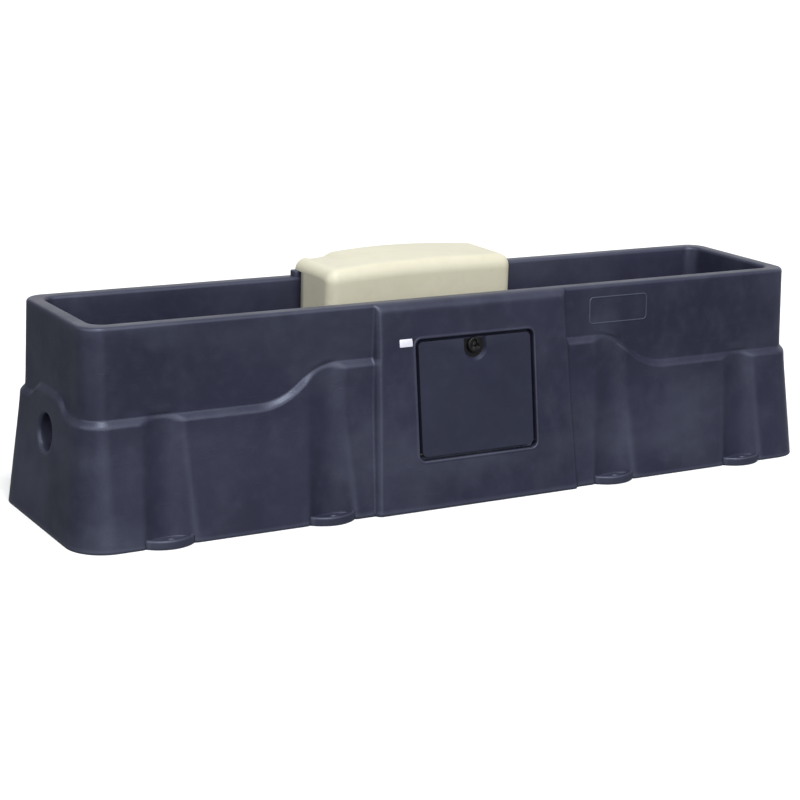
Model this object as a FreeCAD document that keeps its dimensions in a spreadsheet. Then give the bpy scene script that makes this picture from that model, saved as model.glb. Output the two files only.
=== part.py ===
import FreeCAD, Part
import math
import os
import re
import Sketcher
from FreeCAD import Placement, Rotation, Vector

# Livestock drinking trough, double walled and rotationally moulded, with a float valve under a
# lift-off cover and a service door in the front.
# Frame: +X along the length, +Y towards the back, +Z up; the origin is the middle of the base.

SIZES = {
    # moulded body: plan sizes at the rim, at the ledge and on the ground
    "body_height": 610, "rim_length": 2430, "rim_width": 493, "rim_corner": 60,
    "ledge_height": 356, "ledge_length": 2436, "ledge_width": 521, "ledge_corner": 66,
    "ledge_step": 13.5, "ledge_drop": 19, "ledge_cut": 10, "skirt_rise": 127,
    "base_length": 2527, "base_width": 663, "base_corner": 110, "wall": 8,
    # ledge line: it swoops up along the long sides and arches over the pipe entry at each end
    "ledge_high": 455, "swoop_low_end": 710, "swoop_high_end": 440,
    "arch_high": 397, "arch_half_flat": 60, "arch_half_end": 170,
    # water basin
    "basin_length": 2338, "basin_width": 399, "basin_corner": 40,
    "basin_floor": 60, "basin_floor_length": 2250, "basin_floor_width": 340,
    # feet and the hollow flute above each one
    "foot_outer_pos": 1000, "foot_inner_pos": 495, "foot_radius": 104, "foot_reach": 358.5,
    "foot_height": 26, "foot_bolt_radius": 9, "foot_bolt_pos": 335, "foot_back": 302,
    "flute_radius": 120, "flute_base_pos": 425,
    # open pipe entry in the left end, and the shallow blank for one in the right end
    "entry_radius": 52.5, "entry_height": 268, "entry_collar": 60, "entry_face": 1234.5,
    "blank_radius": 50, "blank_deep": 14,
    # raised seat for the cover on the back rim
    "seat_left": -355, "seat_right": 310, "seat_front": 203, "seat_back": 244, "seat_height": 627,
    "seat_low": 590,
    # front panel, which leans back, and the door recess in it (sizes along the panel)
    "panel_front": 346, "panel_lean": 8.25, "panel_half_base": 355, "panel_half_rim": 330,
    "panel_roll": 30, "recess_half": 205, "recess_low": 146.5, "recess_high": 505.2,
    "recess_deep": 22, "seat_flange": 30, "flange_thick": 8,
    "notch_left": -20, "notch_right": 53, "notch_high": 491,
    # door
    "door_half": 194, "door_high": 497, "door_face": 3, "door_thick": 6, "door_rim": 6,
    "door_back": 21, "pivot_deep": 11, "pivot_high": 166, "pivot_barrel": 8, "pivot_radius": 5,
    "pocket_half": 39, "pocket_low": 427,
    # quarter-turn latch
    "latch_high": 474, "latch_shaft_radius": 5, "knob_radius": 23, "knob_front": 3.5,
    "knob_back": 14.5, "cam_front": 31, "cam_thick": 4, "cam_width": 16, "cam_reach": 46,
    "running_gap": 0.05,
    # cover
    "cover_left": -345, "cover_right": 302, "cover_back": 250, "cover_low": 430,
    "cover_end_high": 665, "cover_crown": 687, "cover_round": 30, "cover_wall": 5,
    "hook_half": 215, "hook_back": 280, "hook_low": 592, "hook_high": 668,
    # float valve on the back wall
    "valve_pos": -250, "valve_depth": 100, "valve_high": 520, "barrel_radius": 14,
    "piston_radius": 8, "tail_radius": 11, "tail_bore": 5, "boss_front": 183, "boss_back": 205,
    "lever_pos": -180, "lever_high": 496, "arm_droop": 25, "lever_tilt": 17.5,
    "float_reach": 260, "float_radius": 55, "rod_radius": 4,
    # stop valve and pipework behind the door
    "stop_depth": -232, "stop_high": 250, "stop_radius": 17, "ball_radius": 12.7,
    "pipe_radius": 11, "pipe_bore": 7, "inlet_pos": -80, "outlet_pos": 90,
    "stem_radius": 4, "handle_reach": 95, "pad_face": -192,
    # hose
    "hose_radius": 9, "hose_bore": 6.5, "hose_low": 27, "hose_bend": 70, "hose_tail_depth": 222,
    "hose_front_top": 205, "hose_back_top": 495,
    # drain
    "drain_high": 95, "drain_radius": 19, "drain_bore": 15,
    "drain_pad_front": -184, "drain_pad_back": -160, "drain_boss": 38, "valve_boss": 30,
    "bracket_pad_half": 40, "bracket_pad_low": 175, "bracket_pad_high": 240,
    "bracket_bolt_pos": 18, "bracket_bolt_high": 195,
}

doc = FreeCAD.newDocument("DrinkingTrough")
sheet = doc.addObject("Spreadsheet::Sheet", "Sizes")
for row, (alias, number) in enumerate(SIZES.items(), start=1):
    sheet.set(f"A{row}", alias)
    sheet.set(f"B{row}", str(number))
    sheet.setAlias(f"B{row}", alias)
doc.recompute()

ALONG_X = Rotation(Vector(0, 1, 0), 90)
ALONG_Y = Rotation(Vector(1, 0, 0), -90)
ALONG_Z = Rotation()
OVER = 10


def bound(text):
    """An expression in which each size name points at its cell in the sheet."""
    return re.sub(r"[a-z][a-z_]+", lambda word: "Sizes." + word.group(0), str(text))


def size(text):
    """The present value of an expression made of size names and numbers."""
    return float(eval_sheet(bound(text)))


def eval_sheet(text):
    """A plain number from a sheet expression."""
    result = sheet.evalExpression(text)
    return getattr(result, "Value", result)


def bind(item, **links):
    """Tie properties of an object to expressions."""
    for name, text in links.items():
        item.setExpression(name, bound(text))
    return item


def put(item, pos=("0", "0", "0"), turn=ALONG_Z):
    """Turn an object and tie its position to expressions."""
    item.Placement = Placement(Vector(*[size(text) for text in pos]), turn)
    for letter, text in zip("xyz", pos):
        item.setExpression("Placement.Base." + letter, bound(text))
    return item


def box(low, high):
    """Box between two corners given as expressions."""
    item = doc.addObject("Part::Box", "Block")
    spans = [f"({top}) - ({bottom})" for bottom, top in zip(low, high)]
    bind(item, Length=spans[0], Width=spans[1], Height=spans[2])
    return put(item, low)


def rod(radius, length, pos, turn=ALONG_Z):
    """Cylinder that starts at pos."""
    item = bind(doc.addObject("Part::Cylinder", "Rod"), Radius=radius, Height=length)
    return put(item, pos, turn)


def ball(radius, pos, turn=ALONG_Z):
    """Sphere about pos."""
    return put(bind(doc.addObject("Part::Sphere", "Ball"), Radius=radius), pos, turn)


def ring(outer, inner, length, pos, turn=ALONG_Z):
    """Round ring that starts at pos."""
    return less(rod(outer, length, pos, turn), [rod(inner, length, pos, turn)])


def nut(outer, inner, length, pos, turn=ALONG_Z):
    """Hexagon nut of the given corner radius that starts at pos."""
    return less(hexagon(outer, length, pos, turn), [rod(inner, length, pos, turn)])


def hexagon(radius, length, pos, turn=ALONG_Z):
    """Six-sided prism of the given corner radius."""
    item = doc.addObject("Part::Prism", "Hexagon")
    item.Polygon = 6
    bind(item, Circumradius=radius, Height=length)
    return put(item, pos, turn)


def joined(items):
    """Union of several objects."""
    item = doc.addObject("Part::MultiFuse", "Joined")
    item.Shapes = items
    return item


def bundle(items):
    """Separate solids handled together."""
    item = doc.addObject("Part::Compound", "Bundle")
    item.Links = items
    return item


def shared(items):
    """Space that several objects share."""
    item = doc.addObject("Part::MultiCommon", "Shared")
    item.Shapes = items
    return item


def less(base, tools):
    """Base with the tools taken out of it."""
    item = doc.addObject("Part::Cut", "Less")
    item.Base = base
    item.Tool = tools[0] if len(tools) == 1 else joined(tools)
    return item


def solid(shape, name="Made"):
    """A shape that Part's own functions have made, kept as an object."""
    item = doc.addObject("Part::Feature", name)
    item.Shape = shape
    return item


def part(item, label):
    """Finish a sub-part: its label names its file."""
    item.Label = label
    parts.append(item)
    return item


def group(items, label):
    """Several separate solids under one label."""
    return part(bundle(items), label)


def turned(label, profile, pos, turn=ALONG_Z):
    """PartDesign body turned about its Z axis from (radius, height) corners."""
    body = doc.addObject("PartDesign::Body", label)
    sketch = outline(body, "XZ_Plane", profile)
    feature = body.newObject("PartDesign::Revolution", "Turned")
    feature.Profile = sketch
    feature.ReferenceAxis = (sketch, ["V_Axis"])
    feature.Angle = 360
    sketch.Visibility = False
    return put(body, pos, turn)


def outline(body, plane, corners):
    """Closed sketch on one of the body's planes, each corner tied to the sheet."""
    sketch = body.newObject("Sketcher::SketchObject", "Outline")
    support = [item for item in body.Origin.OriginFeatures if item.Role == plane][0]
    sketch.AttachmentSupport = [(support, "")]
    sketch.MapMode = "FlatFace"
    points = [Vector(size(across), size(up), 0) for across, up in corners]
    for start, end in zip(points, points[1:] + points[:1]):
        sketch.addGeometry(Part.LineSegment(start, end), False)
    for index in range(len(points)):
        following = (index + 1) % len(points)
        sketch.addConstraint(Sketcher.Constraint("Coincident", index, 2, following, 1))
    for index, corner in enumerate(corners):
        for kind, text in zip(("DistanceX", "DistanceY"), corner):
            tie = Sketcher.Constraint(kind, -1, 1, index, 1, size(text))
            number = sketch.addConstraint(tie)
            sketch.setExpression(f"Constraints[{number}]", bound(text))
    return sketch


def round_section(length, width, corner, height):
    """Eight edges of a rectangle with round corners about the Z axis, at a height."""
    half_x, half_y, bend, level = size(length) / 2, size(width) / 2, size(corner), size(height)
    edges = []
    for quarter, (sign_x, sign_y) in enumerate(((1, -1), (1, 1), (-1, 1), (-1, -1))):
        centre = Vector(sign_x * (half_x - bend), sign_y * (half_y - bend), level)
        spokes = [
            centre + Vector(bend * math.cos(angle), bend * math.sin(angle), 0)
            for angle in ((quarter - 1) * math.pi / 2, (quarter - 0.5) * math.pi / 2, quarter * math.pi / 2)
        ]
        edges.append(Part.Arc(*spokes).toShape())
    ends = [(edge.Vertexes[0].Point, edge.Vertexes[-1].Point) for edge in edges]
    straights = [
        Part.makeLine(ends[index][1], ends[(index + 1) % 4][0]) for index in range(4)
    ]
    return [edge for pair in zip(edges, straights) for edge in pair]


def lofted(sections):
    """Straight-sided solid through sections given as (length, width, corner, height)."""
    rings = [round_section(*section) for section in sections]
    faces = [Part.Face(Part.Wire(rings[0])), Part.Face(Part.Wire(rings[-1]))]
    for lower, upper in zip(rings, rings[1:]):
        for index, (below, above) in enumerate(zip(lower, upper)):
            if index % 2 == 0:
                faces.append(Part.makeRuledSurface(below, above))
            else:
                corners = [below.Vertexes[0].Point, below.Vertexes[1].Point,
                           above.Vertexes[1].Point, above.Vertexes[0].Point]
                faces.append(Part.Face(Part.makePolygon(corners + corners[:1])))
    shell = Part.makeShell(faces)
    shell.sewShape()
    block = Part.makeSolid(shell)
    if block.Volume < 0:
        block.reverse()
    return solid(block, "Tapered")


def swoop(start, end):
    """Two tangent arcs that leave start and reach end level."""
    rise = end.z - start.z
    run = (end - Vector(0, 0, rise) - start).Length
    radius = ((run / 2) ** 2 + (rise / 2) ** 2) / abs(rise)
    quarter = math.atan2(abs(rise) / 2, run / 2)
    middle = (start + end) * 0.5
    sink = Vector(0, 0, math.copysign(radius * (1 - math.cos(quarter)), rise))
    along = (end - start - Vector(0, 0, rise)).normalize() * (radius * math.sin(quarter))
    return [
        Part.Arc(start, start + along + sink, middle).toShape(),
        Part.Arc(middle, end - along - sink, end).toShape(),
    ]


def prism(edges, direction):
    """Solid made by sweeping a closed flat outline along a straight direction."""
    wire = Part.Wire(Part.__sortEdges__(edges))
    return Part.Face(wire).extrude(direction)


def lines(points):
    """Straight edges through points."""
    return [Part.makeLine(start, end) for start, end in zip(points, points[1:])]


parts = []


# ---------------------------------------------------------------- moulded body
def ledge_slab(drop):
    """Everything below the ledge line: swooping along the sides, arched at the ends."""
    low, high = size("ledge_height") - drop, size("ledge_high") - drop
    floor, reach, depth = -OVER, size("base_length"), size("base_width")
    outer, inner = size("swoop_low_end"), size("swoop_high_end")
    start = -depth
    side = swoop(Vector(-outer, start, low), Vector(-inner, start, high))
    side += [Part.makeLine(Vector(-inner, start, high), Vector(inner, start, high))]
    side += swoop(Vector(outer, start, low), Vector(inner, start, high))
    side += lines([
        Vector(outer, start, low), Vector(reach, start, low), Vector(reach, start, floor),
        Vector(-reach, start, floor), Vector(-reach, start, low), Vector(-outer, start, low),
    ])
    slab = prism(side, Vector(0, 2 * depth, 0))
    top, flat, foot = size("arch_high") - drop, size("arch_half_flat"), size("arch_half_end")
    for end in (-reach, reach * 0.45):
        arch = swoop(Vector(end, -foot, low), Vector(end, -flat, top))
        arch += [Part.makeLine(Vector(end, -flat, top), Vector(end, flat, top))]
        arch += swoop(Vector(end, foot, low), Vector(end, flat, top))
        arch += lines([
            Vector(end, foot, low), Vector(end, foot, floor),
            Vector(end, -foot, floor), Vector(end, -foot, low),
        ])
        slab = slab.fuse(prism(arch, Vector(reach * 0.55, 0, 0)))
    return solid(slab, "LedgeSlab")


def body_mass(inset):
    """Outside of the body, or with an inset the hollow between its walls."""
    trim = f" - 2 * {inset}"
    top = f"body_height - {inset}"
    high = ["rim_length" + trim, "rim_width" + trim, f"rim_corner - {inset}", top]
    grow = "(rim_width - ledge_width) / (body_height - ledge_height)"
    taper = "(rim_length - ledge_length) / (body_height - ledge_height)"
    low = [
        f"ledge_length - ({taper}) * ledge_height" + trim,
        f"ledge_width - ({grow}) * ledge_height" + trim,
        f"ledge_corner - {inset}", "0" if inset == "0" else f"-{OVER}",
    ]
    skirt = [
        ("base_length" + trim, "base_width" + trim, f"base_corner - {inset}", low[3]),
        ("ledge_length + 2 * ledge_step" + trim, "ledge_width + 2 * ledge_step" + trim,
         f"ledge_corner + ledge_step - {inset}", "ledge_height - ledge_drop"),
        (f"ledge_length + 2 * ledge_step + ({taper}) * skirt_rise" + trim,
         f"ledge_width + 2 * ledge_step + ({grow}) * skirt_rise" + trim,
         f"ledge_corner + ledge_step - {inset}", "ledge_height - ledge_drop + skirt_rise"),
    ]
    return joined([
        lofted([low, high]),
        shared([lofted(skirt), ledge_slab(size(f"ledge_cut + {inset}"))]),
        panel_mass(inset),
    ])


def panel_mass(inset):
    """Front panel: a wedge that leans back and rolls over into the rim."""
    lean, roll = math.radians(size("panel_lean")), size("panel_roll")
    gap = size(inset)
    front = -size("panel_front") + gap / math.cos(lean)
    top, floor = size("body_height") - gap, -OVER if gap else 0
    bend = roll - gap
    turn = math.pi / 2 - lean
    edge = top - bend + bend * math.sin(lean)
    start = Vector(0, front + edge * math.tan(lean), edge)
    centre = start + Vector(0, bend * math.cos(lean), -bend * math.sin(lean))
    middle = math.pi - lean - turn / 2
    halfway = centre + Vector(0, bend * math.cos(middle), bend * math.sin(middle))
    end = centre + Vector(0, 0, bend)
    back = -size("rim_width") / 2 + size("panel_roll") + 20
    reach = size("panel_half_base")
    edges = [Part.Arc(start, halfway, end).toShape()]
    edges += lines([
        end, Vector(0, back, top), Vector(0, back, floor),
        Vector(0, front + floor * math.tan(lean), floor), start,
    ])
    wedge = prism(edges, Vector(2 * reach, 0, 0)).translated(Vector(-reach, 0, 0))
    base, rim = size("panel_half_base") - gap, size("panel_half_rim") - gap
    depth = -size("base_width")
    corners = [
        Vector(-base, depth, floor), Vector(base, depth, floor),
        Vector(rim, depth, top), Vector(-rim, depth, top), Vector(-base, depth, floor),
    ]
    return solid(wedge.common(prism(lines(corners), Vector(0, -depth, 0))), "Panel")


def basin(wall):
    """Water space, or with a wall the outside of the basin shell."""
    grow = f" + 2 * {wall}"
    floor = ("basin_floor_length" + grow, "basin_floor_width" + grow,
             f"basin_corner + {wall}", f"basin_floor - {wall}")
    rim = ("basin_length" + grow, "basin_width" + grow, f"basin_corner + {wall}", "body_height")
    over = rim[:3] + (f"body_height + {OVER}",)
    return lofted([floor, rim, over])


def flute(place, side, extra, top):
    """Cylinder that hollows the skirt above a foot; side is -1 in front and 1 behind."""
    base = side * size("flute_base_pos")
    taper = "(ledge_width - rim_width) / (body_height - ledge_height) / 2"
    wall_at_top = size(f"ledge_width / 2 - ({top} - ledge_height) * {taper}")
    lean = math.atan2(abs(base) - wall_at_top - size("flute_radius"), size(top))
    turn = Rotation(Vector(1, 0, 0), math.degrees(side * lean))
    return rod(f"flute_radius + {extra}", f"({top} + {OVER}) / {math.cos(lean)} + {extra}",
               (place, str(base + side * OVER * math.tan(lean)), f"-{OVER}"), turn)


def foot(place, side):
    """Convex foot with a level top that fills the flute and stands out of the skirt."""
    centre = f"{side} * (foot_reach - foot_radius)"
    disc = rod("foot_radius", "foot_height", (place, centre, "0"))
    near = f"{side} * foot_back"
    far = f"{side} * (foot_reach + {OVER})"
    low, high = (near, far) if side > 0 else (far, near)
    return shared([disc, box((f"{place} - foot_radius", low, "0"), (f"{place} + foot_radius", high, "foot_height"))])


def feet_places():
    """Each foot as (place along X, side, top of its flute)."""
    for side in (-1, 1):
        for sign in ("", "-"):
            yield sign + "foot_outer_pos", side, "ledge_height"
            yield sign + "foot_inner_pos", side, "ledge_high - 8"


def leaned(item):
    """Move an object that was placed in the panel's own frame onto the leaning panel."""
    for axis in "xyz":
        item.setExpression("Placement.Base." + axis, None)
    item.Placement = on_panel.multiply(item.Placement)
    return item


def door_frame():
    """Solid block around the door recess."""
    return leaned(box(
        ("-recess_half - wall", "0", "recess_low - wall"),
        ("recess_half + wall", "recess_deep + flange_thick", "recess_high + wall"),
    ))


def make_body():
    """The one-piece double-walled moulding."""
    places = list(feet_places())
    outside = joined([
        less(body_mass("0"), [flute(place, side, 0, top) for place, side, top in places]),
        *[foot(place, side) for place, side, _ in places],
    ])
    hollow = less(body_mass("wall"), [
        basin("wall"),
        *[flute(place, side, 8, top) for place, side, top in places],
        *[foot(place, side) for place, side, _ in places],
    ])
    seat = box(("seat_left", "seat_front", "seat_low"), ("seat_right", "seat_back", "seat_height"))
    bosses = [
        rod("valve_boss", "boss_back - boss_front", ("valve_pos", "boss_front", "valve_high"), ALONG_Y),
        rod("drain_boss", "drain_pad_back - drain_pad_front",
            ("0", "drain_pad_front", "drain_high"), ALONG_Y),
        box(("-bracket_pad_half", "pad_face", "bracket_pad_low"),
            ("bracket_pad_half", "pad_face + 13", "bracket_pad_high")),
    ]
    collars = [
        rod("entry_radius + wall", "entry_collar", ("-entry_face", "0", "entry_height"), ALONG_X),
        rod("blank_radius + wall", "blank_deep + wall",
            ("entry_face - blank_deep - wall", "0", "entry_height"), ALONG_X),
    ]
    frame = shared([door_frame(), outside])
    walls = less(joined([less(outside, [hollow]), frame, seat, *collars]), [basin("0")])
    shell = less(joined([walls, *bosses]), recess_space())
    holes = [
        rod("entry_radius", "entry_collar + 40", ("-entry_face - 40", "0", "entry_height"), ALONG_X),
        rod("blank_radius", "blank_deep + 40", ("entry_face - blank_deep", "0", "entry_height"), ALONG_X),
        rod("tail_radius + running_gap", "60", ("valve_pos", "boss_front - 20", "valve_high"), ALONG_Y),
        rod("drain_radius + running_gap", "60", ("0", "drain_pad_front - 10", "drain_high"), ALONG_Y),
        *[rod("4.05", "11", (f"{side} * bracket_bolt_pos", "pad_face - 0.01", "bracket_bolt_high"),
              ALONG_Y) for side in (-1, 1)],
        *[rod("foot_bolt_radius", "foot_height + 20", (place, f"{side} * foot_bolt_pos", "-10"))
          for place, side, _ in places],
    ]
    part(less(shell, [bundle(holes)]), "trough_body")


def recess_space():
    """Door recess, the opening behind it, the latch notch and the sockets for the door pins."""
    spaces = [
        box(("-recess_half", "-40", "recess_low"), ("recess_half", "recess_deep", "recess_high")),
        box(("-recess_half + seat_flange", "0", "recess_low + seat_flange"),
            ("recess_half - seat_flange", "recess_deep + 40", "recess_high - seat_flange")),
        box(("notch_left", "0", "recess_high - seat_flange - 5"),
            ("notch_right", "recess_deep + 40", "notch_high")),
        rod("pivot_radius + running_gap", "2 * recess_half + 12",
            ("-recess_half - 6", "pivot_deep", "pivot_high"), ALONG_X),
    ]
    return [leaned(space) for space in spaces]


on_panel = Placement(
    Vector(0, -size("panel_front"), 0), Rotation(Vector(1, 0, 0), -size("panel_lean")),
)


# ---------------------------------------------------------------- door and latch
def make_door():
    """Door moulding: tray with a bottom roll on pins and a pocket for the latch."""
    plate = box(("-door_half", "door_face", "pivot_high"),
                ("door_half", "door_face + door_thick", "door_high"))
    rims = [
        box(("-door_half", "door_face", "pivot_high + 14"),
            ("-door_half + door_rim", "door_back", "door_high")),
        box(("door_half - door_rim", "door_face", "pivot_high + 14"),
            ("door_half", "door_back", "door_high")),
        box(("-door_half", "door_face", "door_high - door_rim"),
            ("door_half", "door_back", "door_high")),
    ]
    roll = rod("pivot_barrel", "2 * door_half", ("-door_half", "pivot_deep", "pivot_high"), ALONG_X)
    pins = rod("pivot_radius", "2 * recess_half + 8",
               ("-recess_half - 4", "pivot_deep", "pivot_high"), ALONG_X)
    bowl = [
        rod("pocket_half + 5", "door_back - door_face",
            ("0", "door_face", "pocket_low + pocket_half"), ALONG_Y),
        box(("-pocket_half - 5", "door_face", "pocket_low + pocket_half"),
            ("pocket_half + 5", "door_back", "door_high")),
    ]
    pocket = [
        rod("pocket_half", "20", ("0", "door_back - 6 - 20", "pocket_low + pocket_half"), ALONG_Y),
        box(("-pocket_half", "-5", "pocket_low + pocket_half"),
            ("pocket_half", "door_back - 6", "door_high + 5")),
        rod("latch_shaft_radius + running_gap", "60", ("0", "0", "latch_high"), ALONG_Y),
        box(("-pocket_half - 10", "-5", "door_high"), ("pocket_half + 10", "60", "door_high + 40")),
    ]
    on_door(less(joined([plate, *rims, roll, pins, *bowl]), pocket), "door")


def on_door(item, label):
    """Finish a sub-part whose pieces were placed in the panel's own frame."""
    part(leaned(item), label)


def make_latch():
    """Quarter-turn latch: knob with a three-lobed hollow, shaft, spacer, cam and nut."""
    centre = ("0", "knob_front", "latch_high")
    knob = rod("knob_radius", "knob_back - knob_front", centre, ALONG_Y)
    lobes = [
        rod("7", "9", (f"9 * {math.sin(angle):.6f}", "knob_front - 4",
                       f"latch_high + 9 * {math.cos(angle):.6f}"), ALONG_Y)
        for angle in (0, 2 * math.pi / 3, 4 * math.pi / 3)
    ]
    socket = rod("latch_shaft_radius", "20", ("0", "knob_back - 4", "latch_high"), ALONG_Y)
    on_door(less(knob, [*lobes, socket]), "latch_knob")
    shaft = rod("latch_shaft_radius", "46 - knob_back", ("0", "knob_back - 4", "latch_high"), ALONG_Y)
    on_door(shaft, "latch_shaft")
    spacer = ring("8", "latch_shaft_radius + running_gap", "cam_front - door_back - 0.2",
                  ("0", "door_back + 0.2", "latch_high"), ALONG_Y)
    on_door(spacer, "latch_spacer")
    blade = joined([
        box(("0", "cam_front", "latch_high - cam_width / 2"),
            ("cam_reach - cam_width / 2", "cam_front + cam_thick", "latch_high + cam_width / 2")),
        rod("cam_width / 2", "cam_thick", ("0", "cam_front", "latch_high"), ALONG_Y),
        rod("cam_width / 2", "cam_thick",
            ("cam_reach - cam_width / 2", "cam_front", "latch_high"), ALONG_Y),
    ])
    hole = rod("latch_shaft_radius + running_gap", "20", ("0", "cam_front - 5", "latch_high"), ALONG_Y)
    on_door(less(blade, [hole]), "latch_cam")
    on_door(nut("9", "latch_shaft_radius + running_gap", "5",
                ("0", "cam_front + cam_thick", "latch_high"), ALONG_Y), "latch_nut")


# ---------------------------------------------------------------- cover
def hood(inset):
    """Arched box with rounded edges; with an inset, the space under it."""
    left, right = size(f"cover_left + {inset}"), size(f"cover_right - {inset}")
    front, back = size(inset), size(f"cover_back - {inset}")
    low = size("cover_low") - (OVER if size(inset) else 0)
    end_high, crown = size(f"cover_end_high - {inset}"), size(f"cover_crown - {inset}")
    middle = (left + right) / 2
    edges = [Part.Arc(Vector(left, front, end_high), Vector(middle, front, crown),
                      Vector(right, front, end_high)).toShape()]
    edges += lines([
        Vector(right, front, end_high), Vector(right, front, low),
        Vector(left, front, low), Vector(left, front, end_high),
    ])
    block = prism(edges, Vector(0, back - front, 0))
    rounded = [edge for edge in block.Edges if edge.BoundBox.ZMax > low + 1]
    return block.makeFillet(size(f"cover_round - {inset}"), rounded)


def make_cover():
    """Lift-off cover that straddles the back rim and hooks behind it."""
    over_rim = box(("cover_left - 40", "boss_front + 2", "400"),
                   ("cover_right + 40", "cover_back + 40", "seat_height + 1"))
    shell = less(solid(hood("0").cut(hood("cover_wall")), "Hood"), [over_rim])
    hook = Part.makeBox(
        size("2 * hook_half"), size("hook_back") - 225, size("hook_high - hook_low"),
        Vector(size("-hook_half"), 225, size("hook_low")),
    )
    outer = [edge for edge in hook.Edges if edge.BoundBox.YMin > 225.1]
    hook = solid(hook.makeFillet(12, [edge for edge in outer if edge.BoundBox.ZMax > 600]), "Hook")
    inside = box(("-hook_half + cover_wall", "190", "hook_low - 5"),
                 ("hook_half - cover_wall", "hook_back - cover_wall", "hook_high - cover_wall"))
    rim_space = box(("-hook_half - 5", "200", "hook_low - 5"),
                    ("hook_half + 5", "252", "seat_height + 1"))
    ribs = shared([
        joined([
            box((f"{place} - 2.5", "seat_front - 13", "seat_height + 0.3"),
                (f"{place} + 2.5", "seat_back + 4", "cover_crown"))
            for place in ("-300", "-120", "90", "262")
        ]),
        solid(hood("2"), "RibLimit"),
    ])
    cover = joined([less(joined([shell, less(hook, [rim_space])]), [inside]), ribs])
    part(cover, "cover")


# ---------------------------------------------------------------- float valve
def make_valve():
    """Valve body, its fixings through the back wall, the seat and the piston."""
    stem = rod("tail_radius", "boss_back + 9 - valve_depth",
               ("valve_pos", "valve_depth", "valve_high"), ALONG_Y)
    flange = rod("24", "5", ("valve_pos", "boss_front - 9", "valve_high"), ALONG_Y)
    barrel = rod("barrel_radius", "54", ("valve_pos - 12", "valve_depth", "valve_high"), ALONG_X)
    ears = [
        box(("valve_pos + 18", f"valve_depth + {near}", "lever_high - 8"),
            ("lever_pos + 9", f"valve_depth + {near} + 4", "lever_high + 14.5"))
        for near in ("3.4", "-7.4")
    ]
    bores = [
        rod("piston_radius + running_gap", "60", ("valve_pos + 10", "valve_depth", "valve_high"), ALONG_X),
        rod("6.05", "10", ("valve_pos + 4", "valve_depth", "valve_high"), ALONG_X),
        rod("tail_bore", "20", ("valve_pos", "valve_depth", "valve_high"), ALONG_X),
        rod("tail_bore", "130", ("valve_pos", "valve_depth", "valve_high"), ALONG_Y),
        rod("3.05", "30", ("lever_pos", "valve_depth - 15", "lever_high"), ALONG_Y),
        box(("valve_pos + 10", "valve_depth - 3.4", "lever_high - 10"),
            ("valve_pos + 60", "valve_depth + 3.4", "valve_high")),
    ]
    part(less(joined([stem, flange, barrel, *ears]), bores), "float_valve_body")
    part(ring("24", "tail_radius + running_gap", "3.9",
              ("valve_pos", "boss_front - 3.9", "valve_high"), ALONG_Y), "float_valve_gasket")
    part(nut("22", "tail_radius + running_gap", "8",
             ("valve_pos", "boss_back", "valve_high"), ALONG_Y), "float_valve_backnut")
    part(ring("6", "2.5", "6", ("valve_pos + 4", "valve_depth", "valve_high"), ALONG_X), "valve_nozzle")
    slot_pos = f"lever_pos + (valve_high - lever_high) * {math.sin(math.radians(size('lever_tilt'))):.6f}"
    plunger = rod("piston_radius", "62", (f"{slot_pos} - 49.5", "valve_depth", "valve_high"), ALONG_X)
    slot = box((f"{slot_pos} - 5.3", "valve_depth - 3.4", "valve_high - 20"),
               (f"{slot_pos} + 5.3", "valve_depth + 3.4", "valve_high + 20"))
    part(less(plunger, [slot]), "valve_piston")
    part(rod("piston_radius - 0.5", "3", (f"{slot_pos} - 52.5", "valve_depth", "valve_high"), ALONG_X),
         "piston_washer")
    head = rod("4.5", "2", ("lever_pos", "valve_depth - 9.4", "lever_high"), ALONG_Y)
    shank = rod("3", "17.4", ("lever_pos", "valve_depth - 7.4", "lever_high"), ALONG_Y)
    part(joined([head, shank]), "lever_pivot_pin")


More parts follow.
